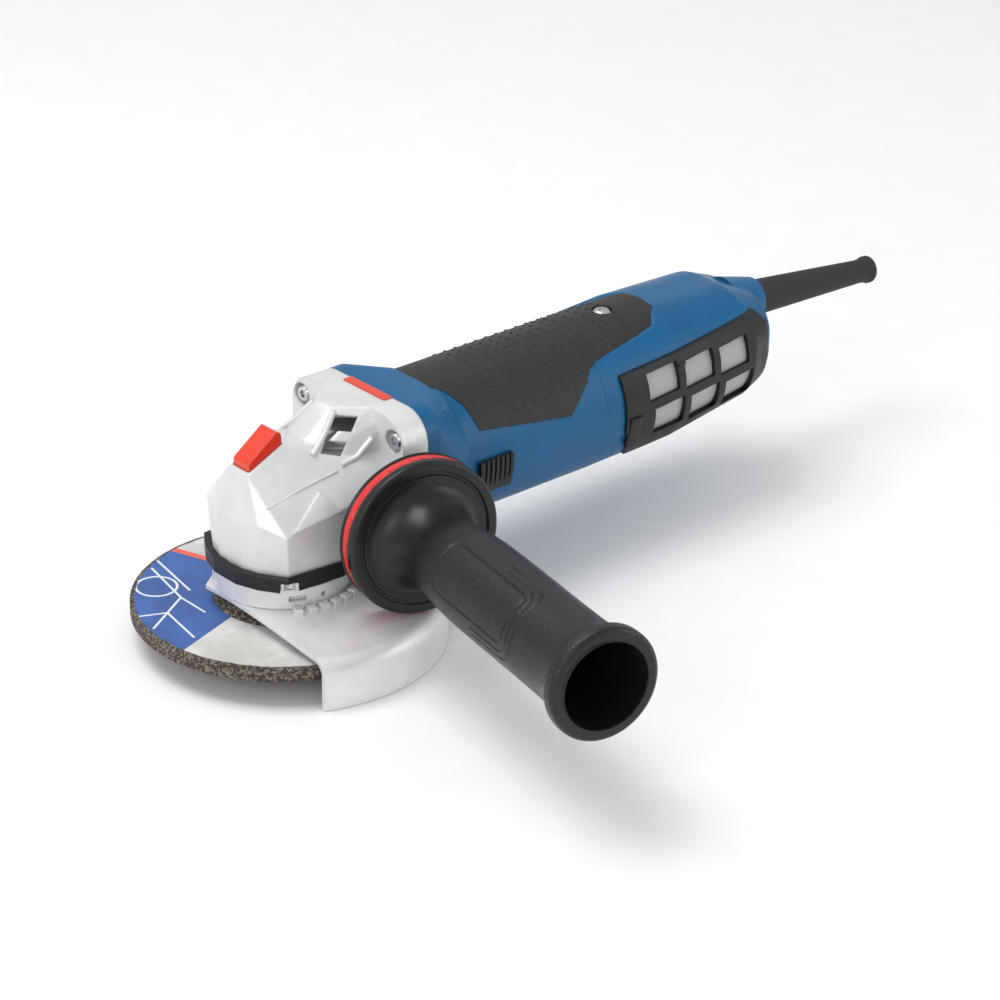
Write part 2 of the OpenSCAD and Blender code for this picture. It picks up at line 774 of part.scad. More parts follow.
module air_baffle() {
  color([0.15, 0.15, 0.16]) along_motor(baffle_x) ring(inner_r - seat, stator_bore_r + 1, baffle_w);
}

module front_bearing() {
  color([0.72, 0.73, 0.75]) along_motor(front_bearing_x) ball_bearing(front_bearing_r - seat, shaft_r + fit, front_bearing_w, 8);
}

module rear_bearing() {
  color([0.72, 0.73, 0.75]) along_motor(rear_bearing_x) ball_bearing(rear_bearing_r, rear_shaft_r + fit, rear_bearing_w, 7);
}

module bearing_sleeve() {
  color([0.1, 0.1, 0.1]) along_motor(rear_bearing_x) ring(rear_bearing_r + sleeve_wall - seat, rear_bearing_r + seat, rear_bearing_w);
}

// Both brush stations, above and below the commutator, with +Y pointing outward
module brush_places() {
  for (a = [90, -90]) translate([commutator_x + commutator_len / 2, 0, motor_z]) rotate([a, 0, 0]) children();
}

module brush_holders() {
  inner = commutator_r + 2.5;
  color([0.75, 0.6, 0.25]) brush_places() difference() {
    translate([-5, inner, -6]) cube([commutator_len / 2 + 6 - seat, inner_r - 1 - inner, 12]);
    translate([-brush_w / 2 - seat, commutator_r, -brush_h / 2 - seat])
      cube([brush_w + 2 * seat, inner_r - commutator_r, brush_h + 2 * seat]);
  }
}

module carbon_brushes() {
  color([0.12, 0.12, 0.13]) brush_places() difference() {
    translate([-brush_w / 2, 3, -brush_h / 2]) cube([brush_w, inner_r - 6, brush_h]);
    translate([-10, 0, 0]) rotate([0, 90, 0]) cylinder(r = commutator_r + fit, h = 20);
  }
}

// ---------- armature ----------

pinion_face_x = pitch_r;
pinion_back = 12.5;

module armature_shaft() {
  color([0.62, 0.63, 0.65]) {
    along_motor(front_bearing_x - 6) cylinder(r = shaft_r, h = commutator_x - front_bearing_x + 6);
    along_motor(commutator_x) cylinder(r = rear_shaft_r, h = split_x - commutator_x - 2);
    along_motor(pinion_face_x - tooth_len - 5) cylinder(r = 3, h = front_bearing_x - pinion_face_x + tooth_len);
  }
}

module armature_core() {
  slots = 12;
  color([0.45, 0.45, 0.47]) along_motor(core_x + 1) difference() {
    ring(rotor_r, shaft_r + seat, core_len - 2);
    for (i = [0 : slots - 1]) rotate(i * 360 / slots) translate([rotor_r - 6, -1.2, -1]) cube([7, 2.4, core_len]);
  }
}

module armature_windings() {
  color([0.72, 0.38, 0.16]) for (x = [core_x - 5.5, core_x + core_len - 1]) along_motor(x)
    ring(rotor_r - 2.5, shaft_r + seat, 6.5);
}

module commutator() {
  bars = 24;
  color([0.78, 0.46, 0.22]) along_motor(commutator_x) difference() {
    ring(commutator_r, rear_shaft_r + seat, commutator_len);
    for (i = [0 : bars - 1]) rotate(i * 360 / bars) translate([commutator_r - 1.2, -0.25, -1])
      cube([2, 0.5, commutator_len + 2]);
  }
}

module cooling_fan() {
  blade_count = 15;
  fan_r = inner_r - 2.2;
  color([0.25, 0.26, 0.28]) along_motor(fan_x) {
    ring(fan_r, shaft_r + seat, 2);
    ring(shaft_r + 4, shaft_r + seat, fan_w);
    for (i = [0 : blade_count - 1]) rotate(i * 360 / blade_count) translate([fan_r - 11, -0.7, 1.9])
      cube([10.5, 1.4, fan_w - 2]);
  }
}

module pinion() {
  color([0.55, 0.56, 0.58]) translate([0, 0, motor_z]) rotate([0, -90, 0]) difference() {
    union() {
      cone_band(pinion_pitch_r - tooth_drop, pitch_r, -pitch_r);
      intersection() {
        cone_band(pinion_pitch_r + tooth_rise, pitch_r, -pitch_r);
        translate([0, 0, -pitch_r - 1]) blades(pinion_teeth, 20, 24, 180 / pinion_teeth);
      }
      translate([0, 0, -front_bearing_x]) cylinder(r = shaft_r + 1.6, h = front_bearing_x - pitch_r);
    }
    translate([0, 0, -60]) cylinder(r = 3 + seat, h = 60);
    translate([0, 0, -60]) cylinder(r = shaft_r + seat, h = 60 - front_bearing_x + 6);
  }
}

module pinion_nut() {
  color([0.5, 0.51, 0.53]) along_motor(pinion_face_x - tooth_len - 3.6) difference() {
    cylinder(r = 4.4, h = 3, $fn = 6);
    translate([0, 0, -1]) cylinder(r = 3 + seat, h = 5);
  }
}

// ---------- tail ----------

// Outer form of the tail: round where it meets the motor, fuller at the filters, then a short neck
module tail_form(grow) {
  hull() {
    along_motor(tail_x) cylinder(r = body_r + grow, h = 1, $fn = 64);
    along_motor(tail_x + tail_len * 0.4) linear_extrude(height = 1)
      round_rect(-body_r - grow, body_r + grow, -body_r + 3.5 - grow, body_r - 0.3 + grow, body_r - 5, $fn = 48);
    along_motor(tail_x + tail_len * 0.84) linear_extrude(height = 1)
      round_rect(-body_r + 1.4 - grow, body_r - 1.4 + grow, -body_r + 11 - grow, body_r - 2.4 + grow, body_r - 8, $fn = 48);
    along_motor(tail_end_x - 2 + grow) linear_extrude(height = 1)
      round_rect(-body_r + 7 - grow, body_r - 7 + grow, -body_r + 18 - grow, body_r - 8.5 + grow, body_r - 17, $fn = 48);
  }
}

// Places children so that their own Z runs out along the cord sleeve, s from its inner end
module along_sleeve(s) {
  translate([tail_end_x - 8, 0, sleeve_z]) rotate([0, 90 + sleeve_droop, 0]) translate([0, 0, s]) children();
}

// Side view of a filter panel
panel_x = tail_x + 9;
panel_len = tail_len - 14;
function panel_outline() = [[panel_x, motor_z + 17], [panel_x + panel_len - 6, motor_z + 23],
  [panel_x + panel_len, motor_z + 17], [panel_x + panel_len, motor_z - 10], [panel_x + panel_len - 5, motor_z - 15],
  [panel_x + 10, motor_z - 24.5], [panel_x + 2, motor_z - 8]];

// The six windows of a filter panel, in two rows that rise with the panel
window_rise = 5;
window_h = 13;
row_z = [2, -15];
module panel_windows(grow) {
  pitch = (panel_len - 26) / 3;
  for (row = [0, 1], col = [0 : 2]) translate([panel_x + 15 + row * 3 + col * pitch, 0]) rotate(window_rise)
    translate([-grow, row_z[row] - grow]) square([pitch - 4 + 2 * grow, window_h + 2 * grow]);
}

module panel_shell(outer, inner) {
  intersection() {
    difference() {
      tail_form(outer);
      tail_form(inner);
    }
    side_slab(60) children();
  }
}

// Shelf inside the tail that carries the switch and the module, and the posts of the cord clamp
shelf_z = motor_z - 12;
clamp_x = tail_end_x - 20;
clamp_len = 9;
clamp_y = 7;
post_top = sleeve_z - 0.5;
shelf_t = 2.5;

module tail_shelf() {
  intersection() {
    tail_form(-wall + 0.3);
    union() {
      translate([tail_x + 8, -60, shelf_z - shelf_t]) cube([tail_len - 17, 120, shelf_t]);
      for (s = [-1, 1]) translate([clamp_x, s * clamp_y - 2.8, shelf_z - 1]) cube([clamp_len, 5.6, post_top - shelf_z + 1]);
    }
  }
}

module tail_cover() {
  color([0.02, 0.36, 0.62]) {
    tail_shell();
    difference() {
      tail_shelf();
      clamp_screw_places() translate([0, 0, -20]) cylinder(r = 1.5 + seat, h = 40);
    }
  }
}

module tail_shell() {
  difference() {
    union() {
      tail_form(0);
      along_sleeve(2) cylinder(r1 = neck_ring_r + 3.4, r2 = neck_ring_r, h = sleeve_hidden - 2);
    }
    difference() {
      tail_form(-wall);
      translate([tail_end_x - 5, -40, 0]) cube([40, 80, 200]);
    }
    along_motor(tail_x - 1) cylinder(r = inner_r, h = 4);
    // Seats and openings of the filter panels
    difference() {
      side_slab(60) polygon(panel_outline());
      tail_form(-panel_in - seat);
    }
    translate([0, 0, motor_z]) side_slab(60) panel_windows(1);
    // Pocket of the rear pad
    difference() {
      side_slab(60) polygon(rear_pad_outline());
      along_motor(tail_x) cylinder(r = pad_floor_r - seat, h = tail_len);
    }
    // Passage of the cord sleeve and hole of the tail screw
    along_sleeve(-22) cylinder(r = sleeve_r + seat, h = 80);
    translate([tail_x + 26, 0, motor_z]) cylinder(r = 2 + seat, h = 60);
  }
}

function rear_pad_outline() = [[tail_x + seat, motor_z + 50], [tail_x + seat, motor_z + 24],
  [tail_x + 38.5, motor_z + 28.3], [tail_x + 43, motor_z + 31], [tail_x + 47, motor_z + body_r - 1],
  [tail_x + 48, motor_z + 50]];

module rear_pad() {
  color([0.22, 0.22, 0.23]) difference() {
    intersection() {
      along_motor(tail_x) ring(pad_r, pad_floor_r, tail_len);
      side_slab(60) polygon(rear_pad_outline());
    }
    translate([tail_x + 26, 0, motor_z]) cylinder(r = 4.6, h = 60);
  }
}

module tail_screw() {
  color([0.75, 0.76, 0.78]) translate([tail_x + 26, 0, motor_z + pad_floor_r]) mirror([0, 0, 1])
    pan_screw(4, 1.5, 2, 12);
}

module filter_panel_near() {
  color([0.2, 0.2, 0.21]) filter_panel();
}

module filter_panel_far() {
  color([0.2, 0.2, 0.21]) mirror([0, 1, 0]) filter_panel();
}

module filter_panel() {
  difference() {
    intersection() {
      panel_shell(panel_out, -panel_in) polygon(panel_outline());
      translate([0, -60, 0]) cube([600, 60, 300]);
    }
    translate([0, 0, motor_z]) side_slab(60) panel_windows(0);
  }
}

module filter_mesh() {
  color([0.75, 0.76, 0.77]) panel_shell(-0.6, -1.1) translate([0, motor_z]) panel_windows(-seat);
}

module mains_switch() {
  color([0.12, 0.12, 0.13]) translate([tail_x + 12, -rod_y + rod_t + gap, shelf_z + seat])
    cube([26, 15, 20]);
}

module control_module() {
  color([0.1, 0.1, 0.11]) translate([tail_x + 44, -13, shelf_z + seat]) cube([34, 26, 26]);
}

// ---------- cord sleeve ----------

module cord_sleeve() {
  tip = sleeve_hidden + sleeve_len;
  color([0.07, 0.07, 0.08]) along_sleeve(0) rotate_extrude() polygon([[cord_d / 2, 0], [sleeve_r - seat, 0],
    [sleeve_r - seat, sleeve_hidden], [cord_d / 2 + 1.3, tip - 8], [cord_d / 2 + 1.6, tip - 4],
    [sleeve_end_r, tip - 2.6], [sleeve_end_r, tip - 0.8], [sleeve_end_r - 0.8, tip], [cord_d / 2, tip]]);
}

// Bar that presses the cord onto the two posts
clamp_top = sleeve_z + 7;

module clamp_screw_places() {
  for (y = [-clamp_y, clamp_y]) translate([clamp_x + clamp_len / 2, y, sleeve_z]) children();
}

module cord_clamp() {
  color([0.15, 0.15, 0.16]) difference() {
    translate([clamp_x, -clamp_y - 4, post_top + seat]) cube([clamp_len, 2 * clamp_y + 8, clamp_top - post_top - seat]);
    translate([clamp_x - 1, 0, sleeve_z]) rotate([0, 90, 0]) cylinder(r = cord_d / 2, h = clamp_len + 2);
    clamp_screw_places() translate([0, 0, -10]) cylinder(r = 1.5 + seat, h = 40);
  }
}

module clamp_screws() {
  color([0.7, 0.7, 0.72]) clamp_screw_places() translate([0, 0, clamp_top - sleeve_z]) mirror([0, 0, 1])
    pan_screw(2.6, 1.8, 1.5, 18);
}

// ---------- side handle ----------

module handle_plate() {
  color([0.1, 0.1, 0.11]) along_handle(boss_end + seat) difference() {
    union() {
      cylinder(r = boss_r + 0.8, h = plate_s - boss_end);
      translate([0, 0, plate_s - boss_end]) rotate_extrude() {
        polygon([[0, 0], [plate_r - 0.8, 0], [plate_r, 0.8], [plate_r, plate_t - 0.8], [plate_r - 0.8, plate_t - seat],
          [0, plate_t - seat]]);
      }
    }
    translate([0, 0, -1]) cylinder(r = stud_r + seat, h = 40);
  }
}

module damper_ring() {
  color([0.85, 0.12, 0.1]) along_handle(plate_s + plate_t + seat) ring(plate_r - 0.7, stud_r + 4, ring_t - seat);
}

// Hand guard and core tube in one moulding: rim, groove, hollow flare and tube
core_r = 12.5;
neck_flare = 17;
module handle_flange() {
  flare = plate_r - 8 - (core_r + 3);
  color([0.1, 0.1, 0.11]) along_handle(flange_s + seat) difference() {
    rotate_extrude() polygon(concat(
      [[stud_r + seat, 0], [plate_r - 1.2, 0], [plate_r, 1.2], [plate_r, flange_t - 1.4], [plate_r - 1.4, flange_t],
        [plate_r - 4.4, flange_t], [plate_r - 4.8, flange_t - 1], [plate_r - 5.8, flange_t - 1], [plate_r - 6.2, flange_t]],
      [for (a = [0 : 10 : 80]) [plate_r - 8 - flare * sin(a), flange_t + neck_flare * (1 - cos(a))]],
      [[core_r + 3, flange_t + neck_flare], [core_r, flange_t + neck_flare], [core_r, flange_t + handle_len - cup_depth - 2],
        [stud_r + seat, flange_t + handle_len - cup_depth - 2]]));
  }
}

module handle_grip() {
  grip_start = grip_s + neck_flare + seat;
  body = handle_end - grip_start;
  rim = 9;
  color([0.13, 0.13, 0.14]) along_handle(grip_start) difference() {
    rotate_extrude() polygon([[core_r + seat, 0], [core_r + 3.2, 0], [grip_r - 1, 14], [grip_r, 34], [grip_r, body - 30],
      [grip_r + 0.6, body - rim - 5], [grip_end_d / 2 - 1.4, body - rim + 1.5], [grip_end_d / 2, body - rim + 4],
      [grip_end_d / 2, body - 2.4], [grip_end_d / 2 - 1.4, body], [cup_d / 2 + 0.6, body], [cup_d / 2, body - 0.8],
      [core_r + 1, body - cup_depth], [core_r + seat, body - cup_depth]]);
  }
}

module handle_stud() {
  color([0.68, 0.69, 0.71]) along_handle(boss_end - stud_hole_depth + 1) {
    cylinder(r = stud_r, h = grip_s - boss_end + stud_hole_depth + 24);
  }
}

gear_housing();
bearing_flange();
lower_bearing();
bearing_retainer();
upper_bearing();
trim_ring();
flange_screws();
accent_strip();
head_screws();
lock_button();
lock_pin();
lock_spring();
spindle();
bevel_wheel();
backing_flange();
grinding_disc();
clamping_nut();
guard_dish();
guard_collar();
guard_latch();
motor_housing();
front_pad();
stator_core();
field_coils();
air_baffle();
front_bearing();
rear_bearing();
bearing_sleeve();
brush_holders();
carbon_brushes();
armature_shaft();
armature_core();
armature_windings();
commutator();
cooling_fan();
pinion();
pinion_nut();
slide_button();
switch_rod();
tail_cover();
rear_pad();
tail_screw();
filter_panel_near();
filter_panel_far();
filter_mesh();
mains_switch();
control_module();
cord_sleeve();
cord_clamp();
clamp_screws();
handle_plate();
damper_ring();
handle_flange();
handle_grip();
handle_stud();
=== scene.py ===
"""Looks of an angle grinder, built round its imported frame: finishes, detailed pieces, light and camera."""
import json
import logging
import math
from dataclasses import dataclass, field
from enum import Enum
from typing import Callable, Iterable, Sequence

import bmesh
import bpy
from mathutils import Matrix, Vector, noise


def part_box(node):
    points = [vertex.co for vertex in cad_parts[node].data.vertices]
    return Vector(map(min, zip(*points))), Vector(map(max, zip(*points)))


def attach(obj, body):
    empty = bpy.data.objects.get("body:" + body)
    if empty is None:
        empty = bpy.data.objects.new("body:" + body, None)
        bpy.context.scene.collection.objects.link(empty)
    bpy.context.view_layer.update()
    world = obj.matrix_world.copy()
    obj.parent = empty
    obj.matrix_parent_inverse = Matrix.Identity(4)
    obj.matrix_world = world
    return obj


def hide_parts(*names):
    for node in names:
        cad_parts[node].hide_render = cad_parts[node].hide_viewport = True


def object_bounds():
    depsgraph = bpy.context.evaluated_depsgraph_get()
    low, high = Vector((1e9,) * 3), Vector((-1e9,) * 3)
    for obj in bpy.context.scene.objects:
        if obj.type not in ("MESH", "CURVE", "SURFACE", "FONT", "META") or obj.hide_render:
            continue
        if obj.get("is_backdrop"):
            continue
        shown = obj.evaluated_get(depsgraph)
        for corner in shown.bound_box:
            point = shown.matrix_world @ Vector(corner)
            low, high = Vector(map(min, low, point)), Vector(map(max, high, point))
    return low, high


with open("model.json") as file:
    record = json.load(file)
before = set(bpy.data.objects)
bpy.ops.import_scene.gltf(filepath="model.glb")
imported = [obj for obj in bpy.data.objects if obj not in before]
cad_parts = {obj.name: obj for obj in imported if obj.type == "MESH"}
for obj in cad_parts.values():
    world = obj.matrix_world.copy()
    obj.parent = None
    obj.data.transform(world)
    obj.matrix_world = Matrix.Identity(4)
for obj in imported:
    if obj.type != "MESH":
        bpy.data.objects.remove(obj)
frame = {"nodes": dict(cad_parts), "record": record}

LOG = logging.getLogger("grinder")
MM = 0.001
Colour = tuple[float, float, float]
Profile = list[tuple[float, float]]


class Body(Enum):
    """The moving bodies that a piece can ride on."""

    FIXED = "body"
    SPINDLE = "spindle_group"
    GUARD = "guard"


# ---------- node trees ----------


class Graph:
    """Places nodes in one tree and joins them."""

    def __init__(self, tree: bpy.types.NodeTree) -> None:
        """Starts on a tree.

        Args:
            tree: The node tree that the nodes go into.
        """
        self.tree = tree
        self.count = 0

    def add(self, kind: str, inputs: dict | None = None, **settings: object) -> bpy.types.Node:
        """Places one node.

        Args:
            kind: The node's type name.
            inputs: Socket name or index to a value or to another node's output.
            settings: The node's own properties.

        Returns:
            The new node.
        """
        node = self.tree.nodes.new(kind)
        node.location = (190 * (self.count % 9), -240 * (self.count // 9))
        self.count += 1
        for key, value in settings.items():
            setattr(node, key, value)
        for key, value in (inputs or {}).items():
            if isinstance(value, bpy.types.NodeSocket):
                self.tree.links.new(value, node.inputs[key])
            else:
                node.inputs[key].default_value = value
        return node

    def math(self, operation: str, a: object, b: object = 0.0, clamp: bool = False) -> bpy.types.NodeSocket:
        """Joins two numbers.

        Args:
            operation: Name of the Math node's operation.
            a: First number or socket.
            b: Second number or socket.
            clamp: Whether the result is kept from 0 to 1.

        Returns:
            The result's socket.
        """
        return self.add("ShaderNodeMath", {0: a, 1: b}, operation=operation, use_clamp=clamp).outputs[0]

    def vector(self, operation: str, a: object, b: object = (0.0, 0.0, 0.0)) -> bpy.types.Node:
        """Joins two vectors and returns the Vector Math node."""
        return self.add("ShaderNodeVectorMath", {0: a, 1: b}, operation=operation)

    def mix(self, share: object, a: object, b: object) -> bpy.types.NodeSocket:
        """Mixes two colours.

        Args:
            share: Share of the second colour.
            a: First colour or socket.
            b: Second colour or socket.

        Returns:
            The mixed colour's socket.
        """
        rgba = [v if isinstance(v, bpy.types.NodeSocket) else (*v, 1.0) for v in (a, b)]
        return self.add("ShaderNodeMix", {0: share, 6: rgba[0], 7: rgba[1]}, data_type="RGBA").outputs[2]

    def span(self, value: object, low: float, high: float, to_low: float = 0.0,
            to_high: float = 1.0) -> bpy.types.NodeSocket:
        """Maps a number smoothly from one range to another.

        Args:
            value: The number's socket.
            low: Value that gives to_low.
            high: Value that gives to_high.
            to_low: Result at low.
            to_high: Result at high.

        Returns:
            The result's socket.
        """
        return self.add("ShaderNodeMapRange", {0: value, 1: low, 2: high, 3: to_low, 4: to_high},
                        interpolation_type="SMOOTHSTEP").outputs[0]


def group(name: str, inputs: dict[str, float | Colour], outputs: dict[str, str]) -> tuple[Graph,
        bpy.types.Node, bpy.types.Node]:
    """Makes an empty shader group.

    Args:
        name: Name of the group.
        inputs: Input names and their default numbers or vectors.
        outputs: Output names and their socket types.

    Returns:
        The group's graph, its input node and its output node.
    """
    tree = bpy.data.node_groups.new(name, "ShaderNodeTree")
    for key, value in inputs.items():
        kind = "NodeSocketFloat" if isinstance(value, float) else "NodeSocketVector"
        tree.interface.new_socket(name=key, in_out="INPUT", socket_type=kind).default_value = value
    for key, kind in outputs.items():
        tree.interface.new_socket(name=key, in_out="OUTPUT", socket_type=kind)
    graph = Graph(tree)
    return graph, graph.add("NodeGroupInput"), graph.add("NodeGroupOutput")


class Effects:
    """The shader groups that the finishes share."""

    def __init__(self) -> None:
        """Builds every group once."""
        self.rounding = self._rounding()
        self.grain = self._grain()
        self.stroke = self._stroke()

    @staticmethod
    def _rounding() -> bpy.types.NodeTree:
        """Builds the group that rounds edges and finds where they rub.

        Returns:
            A group with a Radius input, and Normal and Wear outputs.
        """
        g, start, end = group("rounded_edges", {"Radius": 0.0005}, {"Normal": "NodeSocketVector",
            "Wear": "NodeSocketFloat"})
        bevel = g.add("ShaderNodeBevel", {"Radius": start.outputs["Radius"]}, samples=4)
        face = g.add("ShaderNodeNewGeometry")
        dot = g.vector("DOT_PRODUCT", bevel.outputs[0], face.outputs["Normal"]).outputs["Value"]
        g.tree.links.new(bevel.outputs[0], end.inputs["Normal"])
        g.tree.links.new(g.span(g.math("SUBTRACT", 1.0, dot), 0.01, 0.22), end.inputs["Wear"])
        return g.tree

    @staticmethod
    def _grain() -> bpy.types.NodeTree:
        """Builds the group for fine surface grain and slow blotches.

        Returns:
            A group with Position, Size and Stretch inputs, and Height and Blotch outputs.
        """
        g, start, end = group("surface_grain", {"Position": (0.0, 0.0, 0.0), "Size": 0.0005,
            "Stretch": (1.0, 1.0, 1.0)},
                              {"Height": "NodeSocketFloat", "Blotch": "NodeSocketFloat"})
        place = g.vector("MULTIPLY", start.outputs["Position"], start.outputs["Stretch"]).outputs[0]
        scale = g.math("DIVIDE", 1.0, start.outputs["Size"])
        fine = g.add("ShaderNodeTexNoise", {"Vector": place, "Scale": scale, "Detail": 3.0,
            "Roughness": 0.6})
        slow = g.add("ShaderNodeTexNoise", {"Vector": start.outputs["Position"], "Scale": 55.0,
            "Detail": 4.0, "Roughness": 0.55})
        g.tree.links.new(fine.outputs[0], end.inputs["Height"])
        g.tree.links.new(g.span(slow.outputs[0], 0.3, 0.7), end.inputs["Blotch"])
        return g.tree

    @staticmethod
    def _stroke() -> bpy.types.NodeTree:
        """Builds the group that draws one straight stroke on a flat label.

        Returns:
            A group with Position, Start, End and Width inputs and a Mask output.
        """
        zero = (0.0, 0.0, 0.0)
        g, start, end = group("label_stroke", {"Position": zero, "Start": zero, "End": zero,
            "Width": 0.0008},
                              {"Mask": "NodeSocketFloat"})
        along = g.vector("SUBTRACT", start.outputs["End"], start.outputs["Start"]).outputs[0]
        away = g.vector("SUBTRACT", start.outputs["Position"], start.outputs["Start"]).outputs[0]
        share = g.math("DIVIDE", g.vector("DOT_PRODUCT", away, along).outputs["Value"],
                       g.vector("DOT_PRODUCT", along, along).outputs["Value"], clamp=True)
        foot = g.add("ShaderNodeVectorMath", {0: along, "Scale": share}, operation="SCALE").outputs[0]
        gap = g.vector("DISTANCE", away, foot).outputs["Value"]
        g.tree.links.new(g.math("LESS_THAN", gap, start.outputs["Width"]), end.inputs["Mask"])
        return g.tree


EFFECTS = Effects()


# ---------- finishes ----------


@dataclass(frozen=True)
class Finish:
    """A surface: colour, gloss, fine grain, slow blotches and rounded, slightly rubbed edges."""

    name: str
    colour: Colour
    roughness: float = 0.5
    metallic: float = 0.0
    coat: float = 0.0
    grain: float = 0.4 * MM
    relief: float = 0.02 * MM
    blotch: float = 0.12
    edge: float = 0.5 * MM
    edge_colour: Colour = (0.5, 0.5, 0.5)
    wear: float = 0.15
    stretch: Colour = (1.0, 1.0, 1.0)
    specular: float = 0.5

    def pattern(self, g: Graph, place: bpy.types.NodeSocket) -> tuple[object, bpy.types.NodeSocket,
            bpy.types.NodeSocket]:
        """Gives what varies over the surface.

        Args:
            g: The material's graph.
            place: Position on the object, in metres.

        Returns:
            The colour, the blotches from 0 to 1, and the height from 0 to 1.
        """
        grain = g.add("ShaderNodeGroup", {}, node_tree=EFFECTS.grain)
        g.tree.links.new(place, grain.inputs["Position"])
        grain.inputs["Size"].default_value = self.grain
        grain.inputs["Stretch"].default_value = self.stretch
        blotch = grain.outputs["Blotch"]
        dark = tuple(c * (1.0 - self.blotch) for c in self.colour)
        light = tuple(min(1.0, c * (1.0 + 0.5 * self.blotch)) for c in self.colour)
        return g.mix(blotch, dark, light), blotch, grain.outputs["Height"]

    def material(self) -> bpy.types.Material:
        """Builds the material, or returns it if it is already there."""
        if self.name in bpy.data.materials:
            return bpy.data.materials[self.name]
        mat = bpy.data.materials.new(self.name)
        mat.use_nodes = True
        mat.node_tree.nodes.clear()
        g = Graph(mat.node_tree)
        out = g.add("ShaderNodeOutputMaterial")
        place = g.add("ShaderNodeTexCoord").outputs["Object"]
        colour, blotch, height = self.pattern(g, place)
        edges = g.add("ShaderNodeGroup", {}, node_tree=EFFECTS.rounding)
        edges.inputs["Radius"].default_value = self.edge
        rub = g.math("MULTIPLY", edges.outputs["Wear"], g.math("MULTIPLY", g.span(height, 0.35, 0.6),
            self.wear), clamp=True)
        colour = g.mix(rub, colour, self.edge_colour)
        rough = g.math("ADD", g.math("MULTIPLY", blotch, 0.12), g.math("SUBTRACT", g.math("MULTIPLY",
            height, 0.08), 0.10))
        bump = g.add("ShaderNodeBump", {"Strength": 1.0, "Distance": self.relief, "Height": height,
            "Normal": edges.outputs["Normal"]})
        shader = g.add("ShaderNodeBsdfPrincipled", {
            "Base Color": colour, "Roughness": g.math("ADD", rough, self.roughness, clamp=True),
            "Metallic": self.metallic, "Specular IOR Level": self.specular, "Coat Weight": self.coat,
            "Coat Roughness": 0.12, "Normal": bump.outputs[0]})
        g.tree.links.new(shader.outputs[0], out.inputs[0])
        mat.diffuse_color = (*self.colour, 1.0)
        return mat


@dataclass(frozen=True)
class Pebbled(Finish):
    """Moulded rubber with a fine pebbled skin."""

    pebble: float = 0.9 * MM

    def pattern(self, g: Graph, place: bpy.types.NodeSocket) -> tuple[object, bpy.types.NodeSocket,
            bpy.types.NodeSocket]:
        """Gives the pebbles as height over the plain grain, with painted shade in their hollows and a
        painted highlight on their tops. Args and Returns as in Finish.
        """
        colour, blotch, fine = super().pattern(g, place)
        cells = g.add("ShaderNodeTexVoronoi", {"Vector": place, "Scale": 1.0 / self.pebble},
            feature="SMOOTH_F1")
        dome = g.span(cells.outputs["Distance"], 0.1, 0.75, 1.0, 0.0)
        height = g.math("ADD", g.math("MULTIPLY", dome, 0.8), g.math("MULTIPLY", fine, 0.2))
        # Painted shade and highlight: the colour drops to 0.72 in the hollows between the pebbles and rises
        # to 1.12 on their tops.
        painted_pebble_light = g.span(dome, 0.0, 1.0, 0.72, 1.12)
        pebble_colour_with_painted_light = g.add("ShaderNodeVectorMath", {0: colour, "Scale": painted_pebble_light}, operation="SCALE").outputs[0]
        return pebble_colour_with_painted_light, blotch, height


@dataclass(frozen=True)
class Grit(Finish):
    """Bonded abrasive: angular grains of several browns in a dark bond."""

    size: float = 0.9 * MM
    light: Colour = (0.23, 0.19, 0.16)

    def pattern(self, g: Graph, place: bpy.types.NodeSocket) -> tuple[object, bpy.types.NodeSocket,
            bpy.types.NodeSocket]:
        """Gives the grains' tones and their rough height. Args and Returns as in Finish."""
        _, blotch, fine = super().pattern(g, place)
        cells = g.add("ShaderNodeTexVoronoi", {"Vector": place, "Scale": 1.0 / self.size})
        tone = g.add("ShaderNodeSeparateColor", {0: cells.outputs["Color"]}).outputs[0]
        colour = g.mix(g.span(tone, 0.35, 0.95), self.colour, self.light)
        edge = g.span(cells.outputs["Distance"], 0.15, 0.7, 1.0, 0.0)
        height = g.math("ADD", g.math("MULTIPLY", g.math("MULTIPLY", edge, tone), 0.75), g.math("MULTIPLY",
            fine, 0.25))
        return colour, blotch, height


@dataclass(frozen=True)
class Woven(Finish):
    """Fine filter gauze: wires crossing along X and Z."""

    pitch: float = 0.7 * MM

    def pattern(self, g: Graph, place: bpy.types.NodeSocket) -> tuple[object, bpy.types.NodeSocket,
            bpy.types.NodeSocket]:
        """Gives the gauze's wires as height, with painted shade where the weave dips. Args and Returns as in
        Finish.
        """
        _, blotch, _ = super().pattern(g, place)
        axes = g.add("ShaderNodeSeparateXYZ", {0: place}).outputs
        turn = 2.0 * math.pi / self.pitch
        waves = [g.math("SINE", g.math("MULTIPLY", axes[i], turn)) for i in (0, 2)]
        height = g.math("MULTIPLY_ADD", g.math("MAXIMUM", *waves), 0.5)
        height.node.inputs[2].default_value = 0.5
        # Painted shade: the colour falls to 0.62 of itself where the weave dips between the wires.
        dark = tuple(c * 0.62 for c in self.colour)
        return g.mix(height, dark, self.colour), blotch, height


